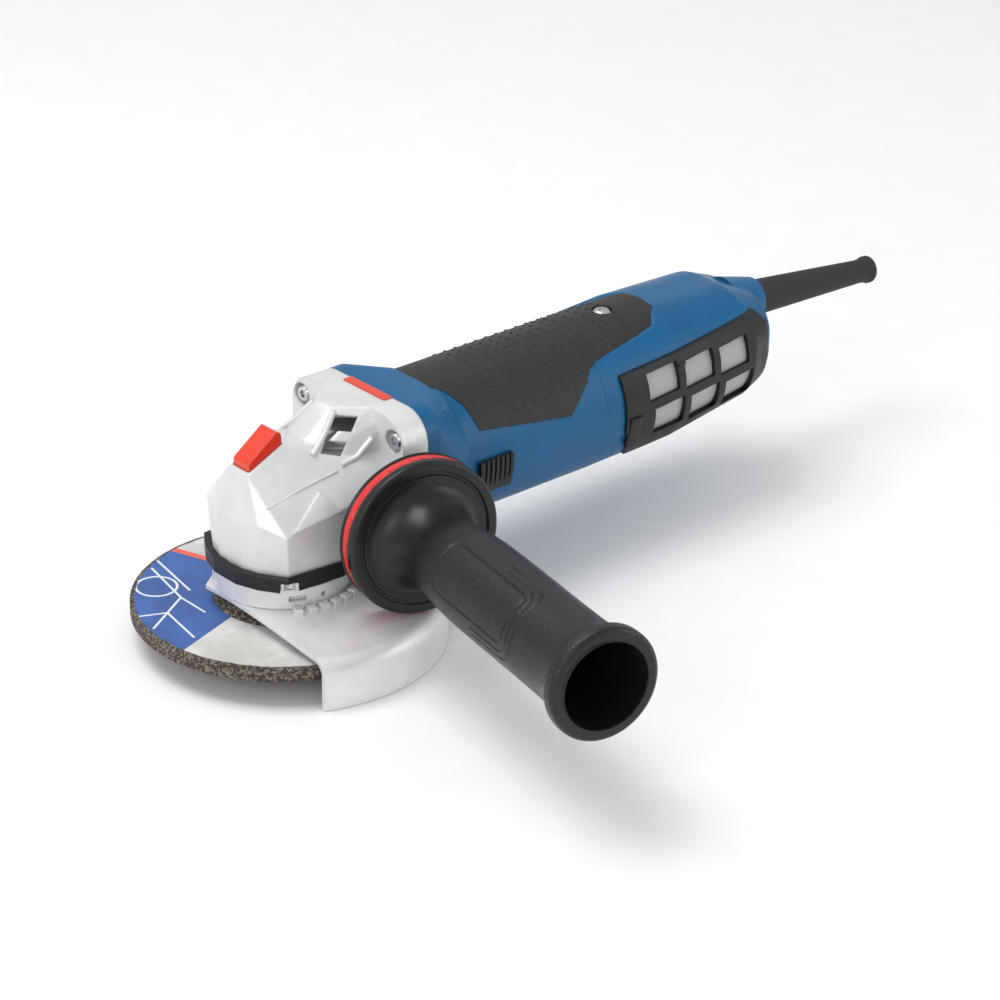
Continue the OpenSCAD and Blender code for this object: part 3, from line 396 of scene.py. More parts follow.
@dataclass(frozen=True)
class DiscLabel(Finish):
    """Paper label of the disc: a blue field with white line work, a red band, and an off-white field."""

    blue: Colour = (0.05, 0.13, 0.40)
    red: Colour = (0.74, 0.13, 0.09)
    border: tuple[float, float] = (-0.314, 6.7 * MM)
    band: tuple[float, float] = (0.36, 8.9 * MM)
    band_width: float = 3.4 * MM
    ring: tuple[float, float, float] = (-36.0 * MM, 38.0 * MM, 8.5 * MM)
    strokes: tuple[tuple[float, float, float, float], ...] = (
        (-58, 10, -34, 24), (-34, 24, -28, 52), (-50, -6, -46, 17), (-27.4, 27, -22, 57), (-46, 17, -57,
        22), (-34, 24, -34, 8))

    def pattern(self, g: Graph, place: bpy.types.NodeSocket) -> tuple[object, bpy.types.NodeSocket,
            bpy.types.NodeSocket]:
        """Gives the printed fields. Args and Returns as in Finish."""
        paper, blotch, fine = super().pattern(g, place)
        xyz = g.add("ShaderNodeSeparateXYZ", {0: place}).outputs
        over = g.math("ADD", xyz[1], g.math("MULTIPLY", xyz[0], self.border[0]))
        right = g.math("ADD", xyz[0], g.math("MULTIPLY", xyz[1], self.band[0]))
        is_blue = g.math("MULTIPLY", g.math("GREATER_THAN", over, self.border[1]), g.math("LESS_THAN",
            right, self.band[1]))
        is_band = g.math("MULTIPLY", g.math("GREATER_THAN", right, self.band[1]),
                         g.math("LESS_THAN", right, self.band[1] + self.band_width))
        flat = g.add("ShaderNodeCombineXYZ", {0: xyz[0], 1: xyz[1]}).outputs[0]
        x, y, radius = self.ring
        gap = g.vector("DISTANCE", flat, (x, y, 0.0)).outputs["Value"]
        lines = g.math("LESS_THAN", g.math("ABSOLUTE", g.math("SUBTRACT", gap, radius)), 0.55 * MM)
        for x0, y0, x1, y1 in self.strokes:
            one = g.add("ShaderNodeGroup", {}, node_tree=EFFECTS.stroke)
            g.tree.links.new(flat, one.inputs["Position"])
            one.inputs["Start"].default_value = (x0 * MM, y0 * MM, 0.0)
            one.inputs["End"].default_value = (x1 * MM, y1 * MM, 0.0)
            one.inputs["Width"].default_value = 0.5 * MM
            lines = g.math("MAXIMUM", lines, one.outputs["Mask"])
        ink = g.mix(blotch, tuple(c * 0.7 for c in self.blue), self.blue)
        colour = g.mix(is_blue, paper, g.mix(lines, ink, (0.72, 0.76, 0.82)))
        colour = g.mix(is_band, colour, self.red)
        weave = g.math("SINE", g.math("MULTIPLY", xyz[0], 5200.0))
        height = g.math("ADD", g.math("MULTIPLY", fine, 0.7), g.math("MULTIPLY", weave, 0.15))
        return colour, blotch, height


SILVER = Finish("silver_casting_paint", (0.70, 0.705, 0.71), 0.36, 0.25, 0.15, 0.35 * MM, 0.012 * MM, 0.06,
    1.5 * MM, (0.85, 0.86, 0.87), 0.3)
GUARD_SHEET = Finish("guard_sheet_satin", (0.76, 0.765, 0.77), 0.36, 0.3, 0.1, 0.5 * MM, 0.012 * MM, 0.06,
    0.5 * MM, (0.9, 0.9, 0.9), 0.3)
BLUE = Finish("blue_body_moulding", (0.001, 0.100, 0.250), 0.36, 0.0, 0.0, 0.55 * MM, 0.035 * MM, 0.10,
    0.8 * MM, (0.05, 0.28, 0.5), 0.25, specular=0.3)
BLACK = Finish("black_moulding", (0.008, 0.009, 0.010), 0.44, 0.0, 0.0, 0.5 * MM, 0.03 * MM, 0.15, 0.5 * MM,
    (0.10, 0.10, 0.11), 0.3, specular=0.35)
DARK_FLANGE = Finish("black_handle_moulding", (0.007, 0.008, 0.009), 0.32, 0.0, 0.0, 0.3 * MM, 0.012 * MM,
    0.12, 0.6 * MM, (0.09, 0.09, 0.10), 0.25, specular=0.4)
PAD = Pebbled("soft_pad_grey", (0.026, 0.026, 0.027), 0.55, 0.0, 0.0, 0.3 * MM, 0.03 * MM, 0.12, 0.5 * MM,
    (0.2, 0.2, 0.2), 0.2, pebble=0.45 * MM, specular=0.35)
GRIP = Pebbled("grip_rubber", (0.008, 0.009, 0.010), 0.38, 0.0, 0.0, 0.3 * MM, 0.13 * MM, 0.12, 0.5 * MM,
    (0.10, 0.10, 0.11), 0.2, pebble=0.75 * MM, specular=0.42)
RUBBER = Finish("black_rubber", (0.007, 0.007, 0.008), 0.48, 0.0, 0.0, 0.3 * MM, 0.02 * MM, 0.15, 0.3 * MM,
    (0.08, 0.08, 0.08), 0.2, specular=0.35)
RED_RUBBER = Finish("red_rubber", (0.72, 0.035, 0.020), 0.42, 0.0, 0.1, 0.4 * MM, 0.05 * MM, 0.15, 0.3 * MM,
    (0.8, 0.2, 0.15), 0.3)
RED = Finish("red_gloss_moulding", (0.70, 0.035, 0.010), 0.30, 0.0, 0.3, 0.5 * MM, 0.012 * MM, 0.08,
    1.0 * MM, (0.95, 0.30, 0.16), 0.35)
STEEL = Finish("turned_steel", (0.60, 0.61, 0.63), 0.30, 1.0, 0.0, 0.25 * MM, 0.01 * MM, 0.15, 0.2 * MM,
    (0.85, 0.85, 0.86), 0.4, (1.0, 1.0, 9.0))
DARK_STEEL = Finish("blackened_steel", (0.10, 0.10, 0.11), 0.42, 0.8, 0.0, 0.3 * MM, 0.02 * MM, 0.2,
    0.3 * MM, (0.5, 0.5, 0.5), 0.5)
GEAR_STEEL = Finish("oiled_gear_steel", (0.42, 0.42, 0.43), 0.28, 1.0, 0.2, 0.3 * MM, 0.012 * MM, 0.2,
    0.2 * MM, (0.8, 0.8, 0.8), 0.4)
CORE = Finish("laminated_core_steel", (0.33, 0.33, 0.35), 0.45, 0.9, 0.0, 0.5 * MM, 0.04 * MM, 0.2,
    0.2 * MM, (0.6, 0.6, 0.6), 0.3, (9.0, 1.0, 1.0))
COPPER = Finish("enamelled_copper", (0.58, 0.22, 0.08), 0.32, 0.85, 0.4, 0.6 * MM, 0.12 * MM, 0.25,
    0.3 * MM, (0.8, 0.4, 0.2), 0.3, (1.0, 3.0, 3.0))
BRASS = Finish("plain_brass", (0.62, 0.45, 0.16), 0.34, 1.0, 0.0, 0.3 * MM, 0.015 * MM, 0.15, 0.2 * MM,
    (0.85, 0.7, 0.4), 0.4)
CARBON = Finish("brush_carbon", (0.03, 0.03, 0.032), 0.6, 0.0, 0.0, 0.3 * MM, 0.03 * MM, 0.2, 0.2 * MM,
    (0.1, 0.1, 0.1), 0.2)
GRIT = Grit("abrasive_grit", (0.040, 0.029, 0.022), 0.82, 0.0, 0.0, 0.3 * MM, 0.35 * MM, 0.2, 0.1 * MM,
    (0.3, 0.25, 0.2), 0.1)
LABEL = DiscLabel("disc_paper_label", (0.66, 0.65, 0.63), 0.62, 0.0, 0.0, 0.6 * MM, 0.06 * MM, 0.22,
    0.1 * MM, (0.5, 0.5, 0.5), 0.1)
GAUZE = Woven("filter_gauze", (0.46, 0.46, 0.47), 0.5, 0.1, 0.0, 0.4 * MM, 0.08 * MM, 0.1, 0.1 * MM, (0.7,
    0.7, 0.7), 0.1)

NODE_FINISH: dict[Finish, tuple[str, ...]] = {
    SILVER: ("gear_housing", "bearing_flange"),
    GUARD_SHEET: ("guard_dish", "guard_collar"),
    BLUE: ("motor_housing", "tail_cover"),
    BLACK: ("trim_ring", "slide_button", "switch_rod", "filter_panel_near", "filter_panel_far",
    "air_baffle", "cooling_fan",
            "mains_switch", "control_module", "cord_clamp"),
    DARK_FLANGE: ("handle_plate", "handle_flange"),
    PAD: ("front_pad", "rear_pad"),
    GRIP: ("handle_grip",),
    RUBBER: ("cord_sleeve", "bearing_sleeve"),
    RED_RUBBER: ("damper_ring",),
    RED: ("lock_button", "accent_strip"),
    STEEL: ("flange_screws", "head_screws", "lock_pin", "lock_spring", "spindle", "guard_latch",
    "lower_bearing", "upper_bearing",
            "bearing_retainer", "front_bearing", "rear_bearing", "armature_shaft", "pinion_nut",
            "tail_screw", "clamp_screws", "handle_stud"),
    DARK_STEEL: ("backing_flange", "clamping_nut"),
    GEAR_STEEL: ("bevel_wheel", "pinion"),
    CORE: ("stator_core", "armature_core"),
    COPPER: ("field_coils", "armature_windings", "commutator"),
    BRASS: ("brush_holders",),
    CARBON: ("carbon_brushes",),
    GRIT: ("grinding_disc",),
    GAUZE: ("filter_mesh",),
}


# ---------- meshes ----------


def dress(node: str, finish: Finish) -> None:
    """Gives a carried-over node its finish.

    Args:
        node: Name of the node.
        finish: The finish that fills every material slot.
    """
    mesh = frame["nodes"][node].data
    if not mesh.materials:
        mesh.materials.append(None)
    for i in range(len(mesh.materials)):
        mesh.materials[i] = finish.material()


def settle(name: str, mesh: bpy.types.Mesh, finish: Finish, body: Body,
        stands_for: Sequence[str] = (),
           sharp: float = 38.0) -> bpy.types.Object:
    """Turns a mesh into a finished piece that rides on a body.

    Args:
        name: Name of the piece.
        mesh: Its mesh, in metres, in place.
        finish: Its finish.
        body: The body that it rides on.
        stands_for: The nodes that it replaces.
        sharp: Angle in degrees over which an edge stays sharp.

    Returns:
        The piece.
    """
    mesh.materials.clear()
    mesh.materials.append(finish.material())
    for face in mesh.polygons:
        face.material_index = 0
        face.use_smooth = True
    mesh.set_sharp_from_angle(angle=math.radians(sharp))
    piece = bpy.data.objects.new(name, mesh)
    bpy.context.scene.collection.objects.link(piece)
    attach(piece, body.value)
    if stands_for:
        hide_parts(*stands_for)
    LOG.info("%s: %d faces on %s", name, len(mesh.polygons), body.value)
    return piece


def closed(mesh_name: str, verts: Iterable[Vector], faces: Iterable[Sequence[int]]) -> bpy.types.Mesh:
    """Makes a mesh with its faces turned outward.

    Args:
        mesh_name: Name of the mesh.
        verts: Its points.
        faces: Its faces as indices of points.

    Returns:
        The mesh.
    """
    mesh = bpy.data.meshes.new(mesh_name)
    mesh.from_pydata([tuple(v) for v in verts], [], [tuple(f) for f in faces])
    form = bmesh.new()
    form.from_mesh(mesh)
    bmesh.ops.remove_doubles(form, verts=form.verts, dist=1e-7)
    bmesh.ops.recalc_face_normals(form, faces=form.faces)
    form.to_mesh(mesh)
    form.free()
    return mesh


def lathe(name: str, profile: Profile, place: Matrix, turns: int, push: Callable[[float, float, float],
        float] | None = None) -> bpy.types.Mesh:
    """Turns a closed profile round its local Z axis.

    Args:
        name: Name of the mesh.
        profile: The closed profile's points, radius and height, in metres.
        place: From the lathe's own space to the frame.
        turns: Number of steps round.
        push: How far a point moves outward, from its radius, height and angle.

    Returns:
        The closed mesh.
    """
    verts, faces, count = [], [], len(profile)
    for j in range(turns):
        angle = 2.0 * math.pi * j / turns
        for radius, height in profile:
            out = radius + (push(radius, height, angle) if push else 0.0)
            verts.append(place @ Vector((out * math.cos(angle), out * math.sin(angle), height)))
    for j in range(turns):
        near, far = j * count, (j + 1) % turns * count
        for i in range(count):
            k = (i + 1) % count
            faces.append((near + i, far + i, far + k, near + k))
    return closed(name, verts, faces)


def arc(centre: tuple[float, float], radius: float, start: float, end: float, steps: int) -> Profile:
    """Points of an arc in a profile.

    Args:
        centre: Radius and height of the arc's centre.
        radius: The arc's radius.
        start: First angle in degrees.
        end: Last angle in degrees.
        steps: Number of steps.

    Returns:
        The points, both ends included.
    """
    angles = [math.radians(start + (end - start) * i / steps) for i in range(steps + 1)]
    return [(centre[0] + radius * math.cos(a), centre[1] + radius * math.sin(a)) for a in angles]


def finer(profile: Profile, step: float) -> Profile:
    """Splits the sides of a closed profile so that none is longer than step."""
    points: Profile = []
    for i, (r0, z0) in enumerate(profile):
        r1, z1 = profile[(i + 1) % len(profile)]
        parts = max(1, math.ceil(math.hypot(r1 - r0, z1 - z0) / step))
        points += [(r0 + (r1 - r0) * k / parts, z0 + (z1 - z0) * k / parts) for k in range(parts)]
    return points


def spline(points: Sequence[tuple[float, float]], steps: int) -> Profile:
    """Smooth curve through the points of an open profile.

    Args:
        points: The points that it passes.
        steps: Steps between two of them.

    Returns:
        The curve's points, both ends included.
    """
    result: Profile = []
    for i in range(len(points) - 1):
        p = [Vector(points[min(max(i + k, 0), len(points) - 1)]) for k in (-1, 0, 1, 2)]
        for s in range(steps):
            t = s / steps
            q = 0.5 * ((2 * p[1]) + (p[2] - p[0]) * t + (2 * p[0] - 5 * p[1] + 4 * p[2] - p[3]) * t * t
                       + (3 * p[1] - p[0] - 3 * p[2] + p[3]) * t * t * t)
            result.append((q.x, q.y))
    return result + [tuple(points[-1])]


@dataclass
class Axis:
    """A line that round pieces sit on."""

    origin: Vector
    along: Vector

    def place(self) -> Matrix:
        """From a space whose Z runs along the line to the frame."""
        side = self.along.cross(Vector((0.0, 0.0, 1.0))).normalized()
        up = side.cross(self.along)
        turn = Matrix((side, up, self.along)).transposed().to_4x4()
        turn.translation = self.origin
        return turn

    def reach(self, node: str) -> tuple[float, float, float]:
        """Lowest and highest station of a node on the line, and its largest radius.

        Args:
            node: Name of the node.

        Returns:
            Both stations and the radius, in metres.
        """
        back = self.place().inverted()
        points = [back @ v.co for v in frame["nodes"][node].data.vertices]
        return (min(p.z for p in points), max(p.z for p in points), max(math.hypot(p.x,
            p.y) for p in points))


# ---------- repeated shapes ----------


def tree_input(tree: bpy.types.NodeTree, name: str) -> str:
    """Identifier of a tree's input by its name."""
    return next(i.identifier for i in tree.interface.items_tree if i.name == name and i.in_out == "INPUT")


def grown(name: str, tree: bpy.types.NodeTree, values: dict[str, object]) -> bpy.types.Mesh:
    """Runs a geometry tree once and keeps its result as a plain mesh.

    Args:
        name: Name of the mesh.
        tree: The geometry tree.
        values: Input names and their values.

    Returns:
        The mesh.
    """
    holder = bpy.data.objects.new(name + "_seed", bpy.data.meshes.new(name + "_seed"))
    bpy.context.scene.collection.objects.link(holder)
    modifier = holder.modifiers.new("grow", "NODES")
    modifier.node_group = tree
    for key, value in values.items():
        modifier[tree_input(tree, key)] = value
    deps = bpy.context.evaluated_depsgraph_get()
    mesh = bpy.data.meshes.new_from_object(holder.evaluated_get(deps), depsgraph=deps)
    mesh.name = name
    holder.modifiers.remove(modifier)
    bpy.data.objects.remove(holder)
    return mesh


def geometry_tree(name: str, inputs: dict[str, float | int | tuple]) -> tuple[Graph, bpy.types.Node,
        bpy.types.Node]:
    """Makes an empty geometry tree with named inputs.

    Args:
        name: Name of the tree.
        inputs: Input names and their default values.

    Returns:
        The tree's graph, its input node and its output node.
    """
    tree = bpy.data.node_groups.new(name, "GeometryNodeTree")
    tree.interface.new_socket(name="Geometry", in_out="INPUT", socket_type="NodeSocketGeometry")
    for key, value in inputs.items():
        kind = {int: "NodeSocketInt", float: "NodeSocketFloat"}.get(type(value), "NodeSocketVector")
        tree.interface.new_socket(name=key, in_out="INPUT", socket_type=kind).default_value = value
    tree.interface.new_socket(name="Geometry", in_out="OUTPUT", socket_type="NodeSocketGeometry")
    graph = Graph(tree)
    return graph, graph.add("NodeGroupInput"), graph.add("NodeGroupOutput")


def deliver(g: Graph, copies: bpy.types.Node, finish: Finish, out: bpy.types.Node) -> None:
    """Ends a geometry tree: makes the copies real and gives them their material.

    Args:
        g: The tree's graph.
        copies: The node that places the copies.
        finish: The finish of the copies.
        out: The tree's output node.
    """
    real = g.add("GeometryNodeRealizeInstances", {0: copies.outputs[0]})
    dressed = g.add("GeometryNodeSetMaterial", {"Geometry": real.outputs[0], "Material": finish.material()})
    g.tree.links.new(dressed.outputs[0], out.inputs[0])


# ---------- sub-assemblies ----------


@dataclass
class GrindingDisc:
    """The depressed-centre disc with its rough bond and its paper label."""

    hub_radius: float = 26.0 * MM
    hub_rise: float = 4.6 * MM
    bore_radius: float = 11.1 * MM
    label_edge: float = 60.6 * MM
    roughness: float = 0.22 * MM

    def build(self) -> None:
        """Builds the bonded body and the label."""
        low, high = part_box("grinding_disc")
        rim, top = high.x, high.z
        face = top - self.hub_rise
        bottom = low.z
        hub, rise = self.hub_radius, self.hub_rise
        outline = [(self.bore_radius, bottom + rise), (hub - rise, bottom + rise), (hub, bottom),
            (rim - 0.4 * MM, bottom),
                   (rim, bottom + 0.5 * MM), (rim, face - 0.5 * MM), (rim - 0.5 * MM, face),
                   (hub + 2.0 * MM, face),
                   (hub + 1.0 * MM - rise, top), (self.bore_radius, top)]

        def rough(radius: float, height: float, angle: float) -> float:
            """Inward roughness of the bond, none in the bore."""
            if radius < self.bore_radius + 1.0 * MM:
                return 0.0
            spot = Vector((radius * math.cos(angle), radius * math.sin(angle), height)) * 1300.0
            return -self.roughness * (0.5 + 0.5 * noise.noise(spot))

        mesh = lathe("disc_body", finer(outline, 1.1 * MM), Matrix(), 420, rough)
        settle("disc_body", mesh, GRIT, Body.SPINDLE, ["grinding_disc"], 60.0)
        inner = hub + 2.4 * MM
        paper = [(inner, face - 0.05 * MM), (self.label_edge, face - 0.05 * MM), (self.label_edge,
            face + 0.1 * MM),
                 (inner, face + 0.1 * MM)]

        def ragged(radius: float, height: float, angle: float) -> float:
            """Uneven edge of the paper."""
            return 0.35 * MM * noise.noise(Vector((math.cos(angle), math.sin(angle), radius * 9.0)) * 14.0)

        settle("disc_label", lathe("disc_label", finer(paper, 4.0 * MM), Matrix(), 360, ragged), LABEL,
        Body.SPINDLE)


@dataclass
class Guard:
    """The pressed guard: sloping plate, soft shoulder, skirt and index teeth."""

    sheet: float = 1.8 * MM
    shoulder: float = 6.5 * MM
    drop: float = 4.2 * MM
    opening_turn: float = -28.0
    opening_half: float = 152.0
    opening_front: float = 28.0 * MM
    teeth: int = 9
    tooth_step: float = 10.4
    tooth_start: float = -117.0

    def build(self) -> None:
        """Builds the dish and the teeth beside the collar."""
        low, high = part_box("guard_dish")
        reach = max(abs(high.y), abs(low.y), high.x)
        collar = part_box("guard_collar")
        inner = collar[1].y - self.sheet
        top = collar[0].z
        bend = reach - self.shoulder
        bend_z = top - self.drop - self.shoulder
        outer = [(inner, top)] + arc((bend, bend_z), self.shoulder, 82.0, 0.0, 14) + [(reach, low.z)]
        back = [(reach - self.sheet, low.z)] + arc((bend, bend_z), self.shoulder - self.sheet, 0.0, 82.0,
            14) + [(inner, top - self.sheet)]
        mesh = lathe("guard_shell", outer + back, Matrix(), 288)
        form = bmesh.new()
        form.from_mesh(mesh)
        for side in (-1.0, 1.0):
            way = math.radians(self.opening_turn + side * self.opening_half)
            normal = Vector((math.cos(way), math.sin(way), 0.0))
            cut = bmesh.ops.bisect_plane(form, geom=form.verts[:] + form.edges[:] + form.faces[:],
                plane_co=normal * self.opening_front,
                                         plane_no=normal, clear_outer=True)
            edges = [e for e in cut["geom_cut"] if isinstance(e, bmesh.types.BMEdge)]
            bmesh.ops.edgenet_fill(form, edges=edges)
        bmesh.ops.recalc_face_normals(form, faces=form.faces)
        form.to_mesh(mesh)
        form.free()
        settle("guard_shell", mesh, GUARD_SHEET, Body.GUARD, ["guard_dish"], 32.0)
        settle("guard_teeth", self._teeth(inner + 3.2 * MM, top), GUARD_SHEET, Body.GUARD)

    def _teeth(self, start: float, top: float) -> bpy.types.Mesh:
        """Repeats one tapered tooth along the collar's foot.

        Args:
            start: Radius of the teeth's inner side.
            top: Height of the plate beside the collar.

        Returns:
            The teeth's mesh.
        """
        g, begin, end = geometry_tree("guard_index_teeth", {"Count": 9, "Step": 0.1, "Start": 0.0,
            "Radius": 0.03, "Height": 0.02,
                                                           "Size": (0.0034, 0.0038, 0.003)})
        points = g.add("GeometryNodeMeshLine", {"Count": begin.outputs["Count"], "Offset": (0.0, 0.0, 0.0)})
        turn = g.math("ADD", begin.outputs["Start"], g.math("MULTIPLY",
            g.add("GeometryNodeInputIndex").outputs[0], begin.outputs["Step"]))
        spot = g.add("ShaderNodeCombineXYZ", {0: g.math("MULTIPLY", g.math("COSINE", turn),
            begin.outputs["Radius"]),
                                              1: g.math("MULTIPLY", g.math("SINE", turn),
                                              begin.outputs["Radius"]),
                                              2: begin.outputs["Height"]})
        placed = g.add("GeometryNodeSetPosition", {"Geometry": points.outputs[0],
            "Position": spot.outputs[0]})
        block = g.add("GeometryNodeMeshCube", {"Size": begin.outputs["Size"]})
        pressed = g.add("GeometryNodeExtrudeMesh", {"Mesh": block.outputs[0],
            "Selection": self._top_faces(g), "Offset Scale": 0.0004})
        shrunk = g.add("GeometryNodeScaleElements", {"Geometry": pressed.outputs[0],
            "Selection": pressed.outputs["Top"], "Scale": 0.78})
        heading = g.add("ShaderNodeCombineXYZ", {2: turn})
        copies = g.add("GeometryNodeInstanceOnPoints", {"Points": placed.outputs[0],
            "Instance": shrunk.outputs[0],
                                                        "Rotation": heading.outputs[0]})
        deliver(g, copies, GUARD_SHEET, end)
        return grown("guard_teeth", g.tree, {
            "Count": self.teeth, "Step": math.radians(self.tooth_step),
            "Start": math.radians(self.tooth_start),
            "Radius": start + 1.7 * MM, "Height": top - 0.1 * MM})

    @staticmethod
    def _top_faces(g: Graph) -> bpy.types.NodeSocket:
        """Selects the faces that point up.

        Args:
            g: The geometry tree's graph.

        Returns:
            A true or false socket.
        """
        up = g.add("ShaderNodeSeparateXYZ", {0: g.add("GeometryNodeInputNormal").outputs[0]}).outputs[2]
        return g.math("GREATER_THAN", up, 0.9)


@dataclass
class SideHandle:
    """The side handle: hand guard with a hollow flare, and a rubber grip with an open flared end."""

    axis: Axis
    core_radius: float = 12.6 * MM
    flare: float = 17.0 * MM
    groove_depth: float = 0.55 * MM
    groove_gap: float = 3.4 * MM
    panel_half: float = 11.0 * MM

    def build(self) -> None:
        """Builds the flange and the grip along the handle's axis."""
        self._flange()
        self._grip()

    def _flange(self) -> None:
        """Builds the hand guard with its rim, groove and smooth flare."""
        start, end, radius = self.axis.reach("handle_flange")
        rim = 4.9 * MM
        bore = 7.1 * MM
        neck = self.core_radius + 2.9 * MM
        face = start + rim
        sweep = radius - 8.0 * MM - neck
        bowl = [(radius - 8.0 * MM - sweep * math.sin(math.radians(a)),
            face + self.flare * (1.0 - math.cos(math.radians(a))))
                for a in range(0, 87, 3)]
        lip = [(bore, start), (radius - 1.2 * MM, start)] + arc((radius - 1.3 * MM, start + 1.3 * MM),
            1.3 * MM, -80.0, 0.0, 5)
        lip += arc((radius - 1.6 * MM, face - 1.6 * MM), 1.6 * MM, 0.0, 90.0, 6)
        lip += [(radius - 4.2 * MM, face), (radius - 4.6 * MM, face - 1.0 * MM), (radius - 5.7 * MM,
            face - 1.0 * MM),
                (radius - 6.1 * MM, face)]
        tail = [(neck, face + self.flare), (self.core_radius - 0.1 * MM, face + self.flare),
            (self.core_radius - 0.1 * MM, end), (bore, end)]
        mesh = lathe("hand_guard", lip + bowl + tail, self.axis.place(), 160)
        settle("hand_guard", mesh, DARK_FLANGE, Body.FIXED, ["handle_flange"])

    def _grip(self) -> None:
        """Builds the grip with its sunk contour lines and its deep end."""
        start, end, radius = self.axis.reach("handle_grip")
        length = end - start
        waist = 18.7 * MM
        cup = 17.7 * MM
        core = self.core_radius
        outer = spline([(core + 3.2 * MM, start + 0.2 * MM), (waist - 1.0 * MM, start + 14.0 * MM), (waist,
            start + 34.0 * MM),
                        (waist, start + length - 34.0 * MM), (waist + 0.5 * MM, start + length - 16.0 * MM),
                        (radius - 1.8 * MM, start + length - 8.2 * MM)], 22)
        ring = arc((radius - 2.2 * MM, end - 5.0 * MM), 2.2 * MM, 60.0 - 90.0, 0.0,
            5) + arc((radius - 2.4 * MM, end - 2.4 * MM), 2.4 * MM, 0.0, 90.0, 6)
        inside = spline([(cup + 0.5 * MM, end - 0.0), (cup, end - 0.7 * MM), (cup - 0.8 * MM,
            end - 16.0 * MM), (core + 1.4 * MM, end - 40.0 * MM),
                         (core + 0.1 * MM, end - 46.0 * MM)], 8)
        profile = finer([(core + 0.05 * MM, start)] + outer + ring + inside, 0.8 * MM)
        self._line_start = start + 12.0 * MM
        self._line_end = start + length - 24.0 * MM
        mesh = lathe("grip", profile, self.axis.place(), 288, self._sink)
        settle("grip", mesh, GRIP, Body.FIXED, ["handle_grip"], 50.0)

    def _sink(self, radius: float, station: float, angle: float) -> float:
        """Depth of the grip's contour lines at a point.

        Args:
            radius: Distance from the handle's axis.
            station: Place along the handle.
            angle: Angle round the handle.

        Returns:
            The outward move, which is negative in a line.
        """
        in_lines = self._line_start < station < self._line_end + 4 * self.groove_gap
        if radius < self.core_radius + 4.0 * MM or not in_lines:
            return 0.0
        depth = 0.0
        for heading in (math.radians(35.0), math.radians(215.0)):
            side = (angle - heading + math.pi) % (2.0 * math.pi) - math.pi
            if abs(side) > 1.35:
                continue
            across = abs(side) * radius - (self.panel_half - 4.0 * MM)
            along = max(station - (self._line_end - 26.0 * MM), (self._line_start + 14.0 * MM) - station)
            edge = math.hypot(max(across, 0.0), max(along, 0.0)) + min(max(across, along), 0.0) - 4.0 * MM
            for k in range(3):
                if k and station < self._line_end - 46.0 * MM:
                    continue
                gap = abs(edge - k * self.groove_gap)
                depth = max(depth, self.groove_depth * max(0.0, 1.0 - (gap / (0.6 * MM)) ** 2))
        return -depth


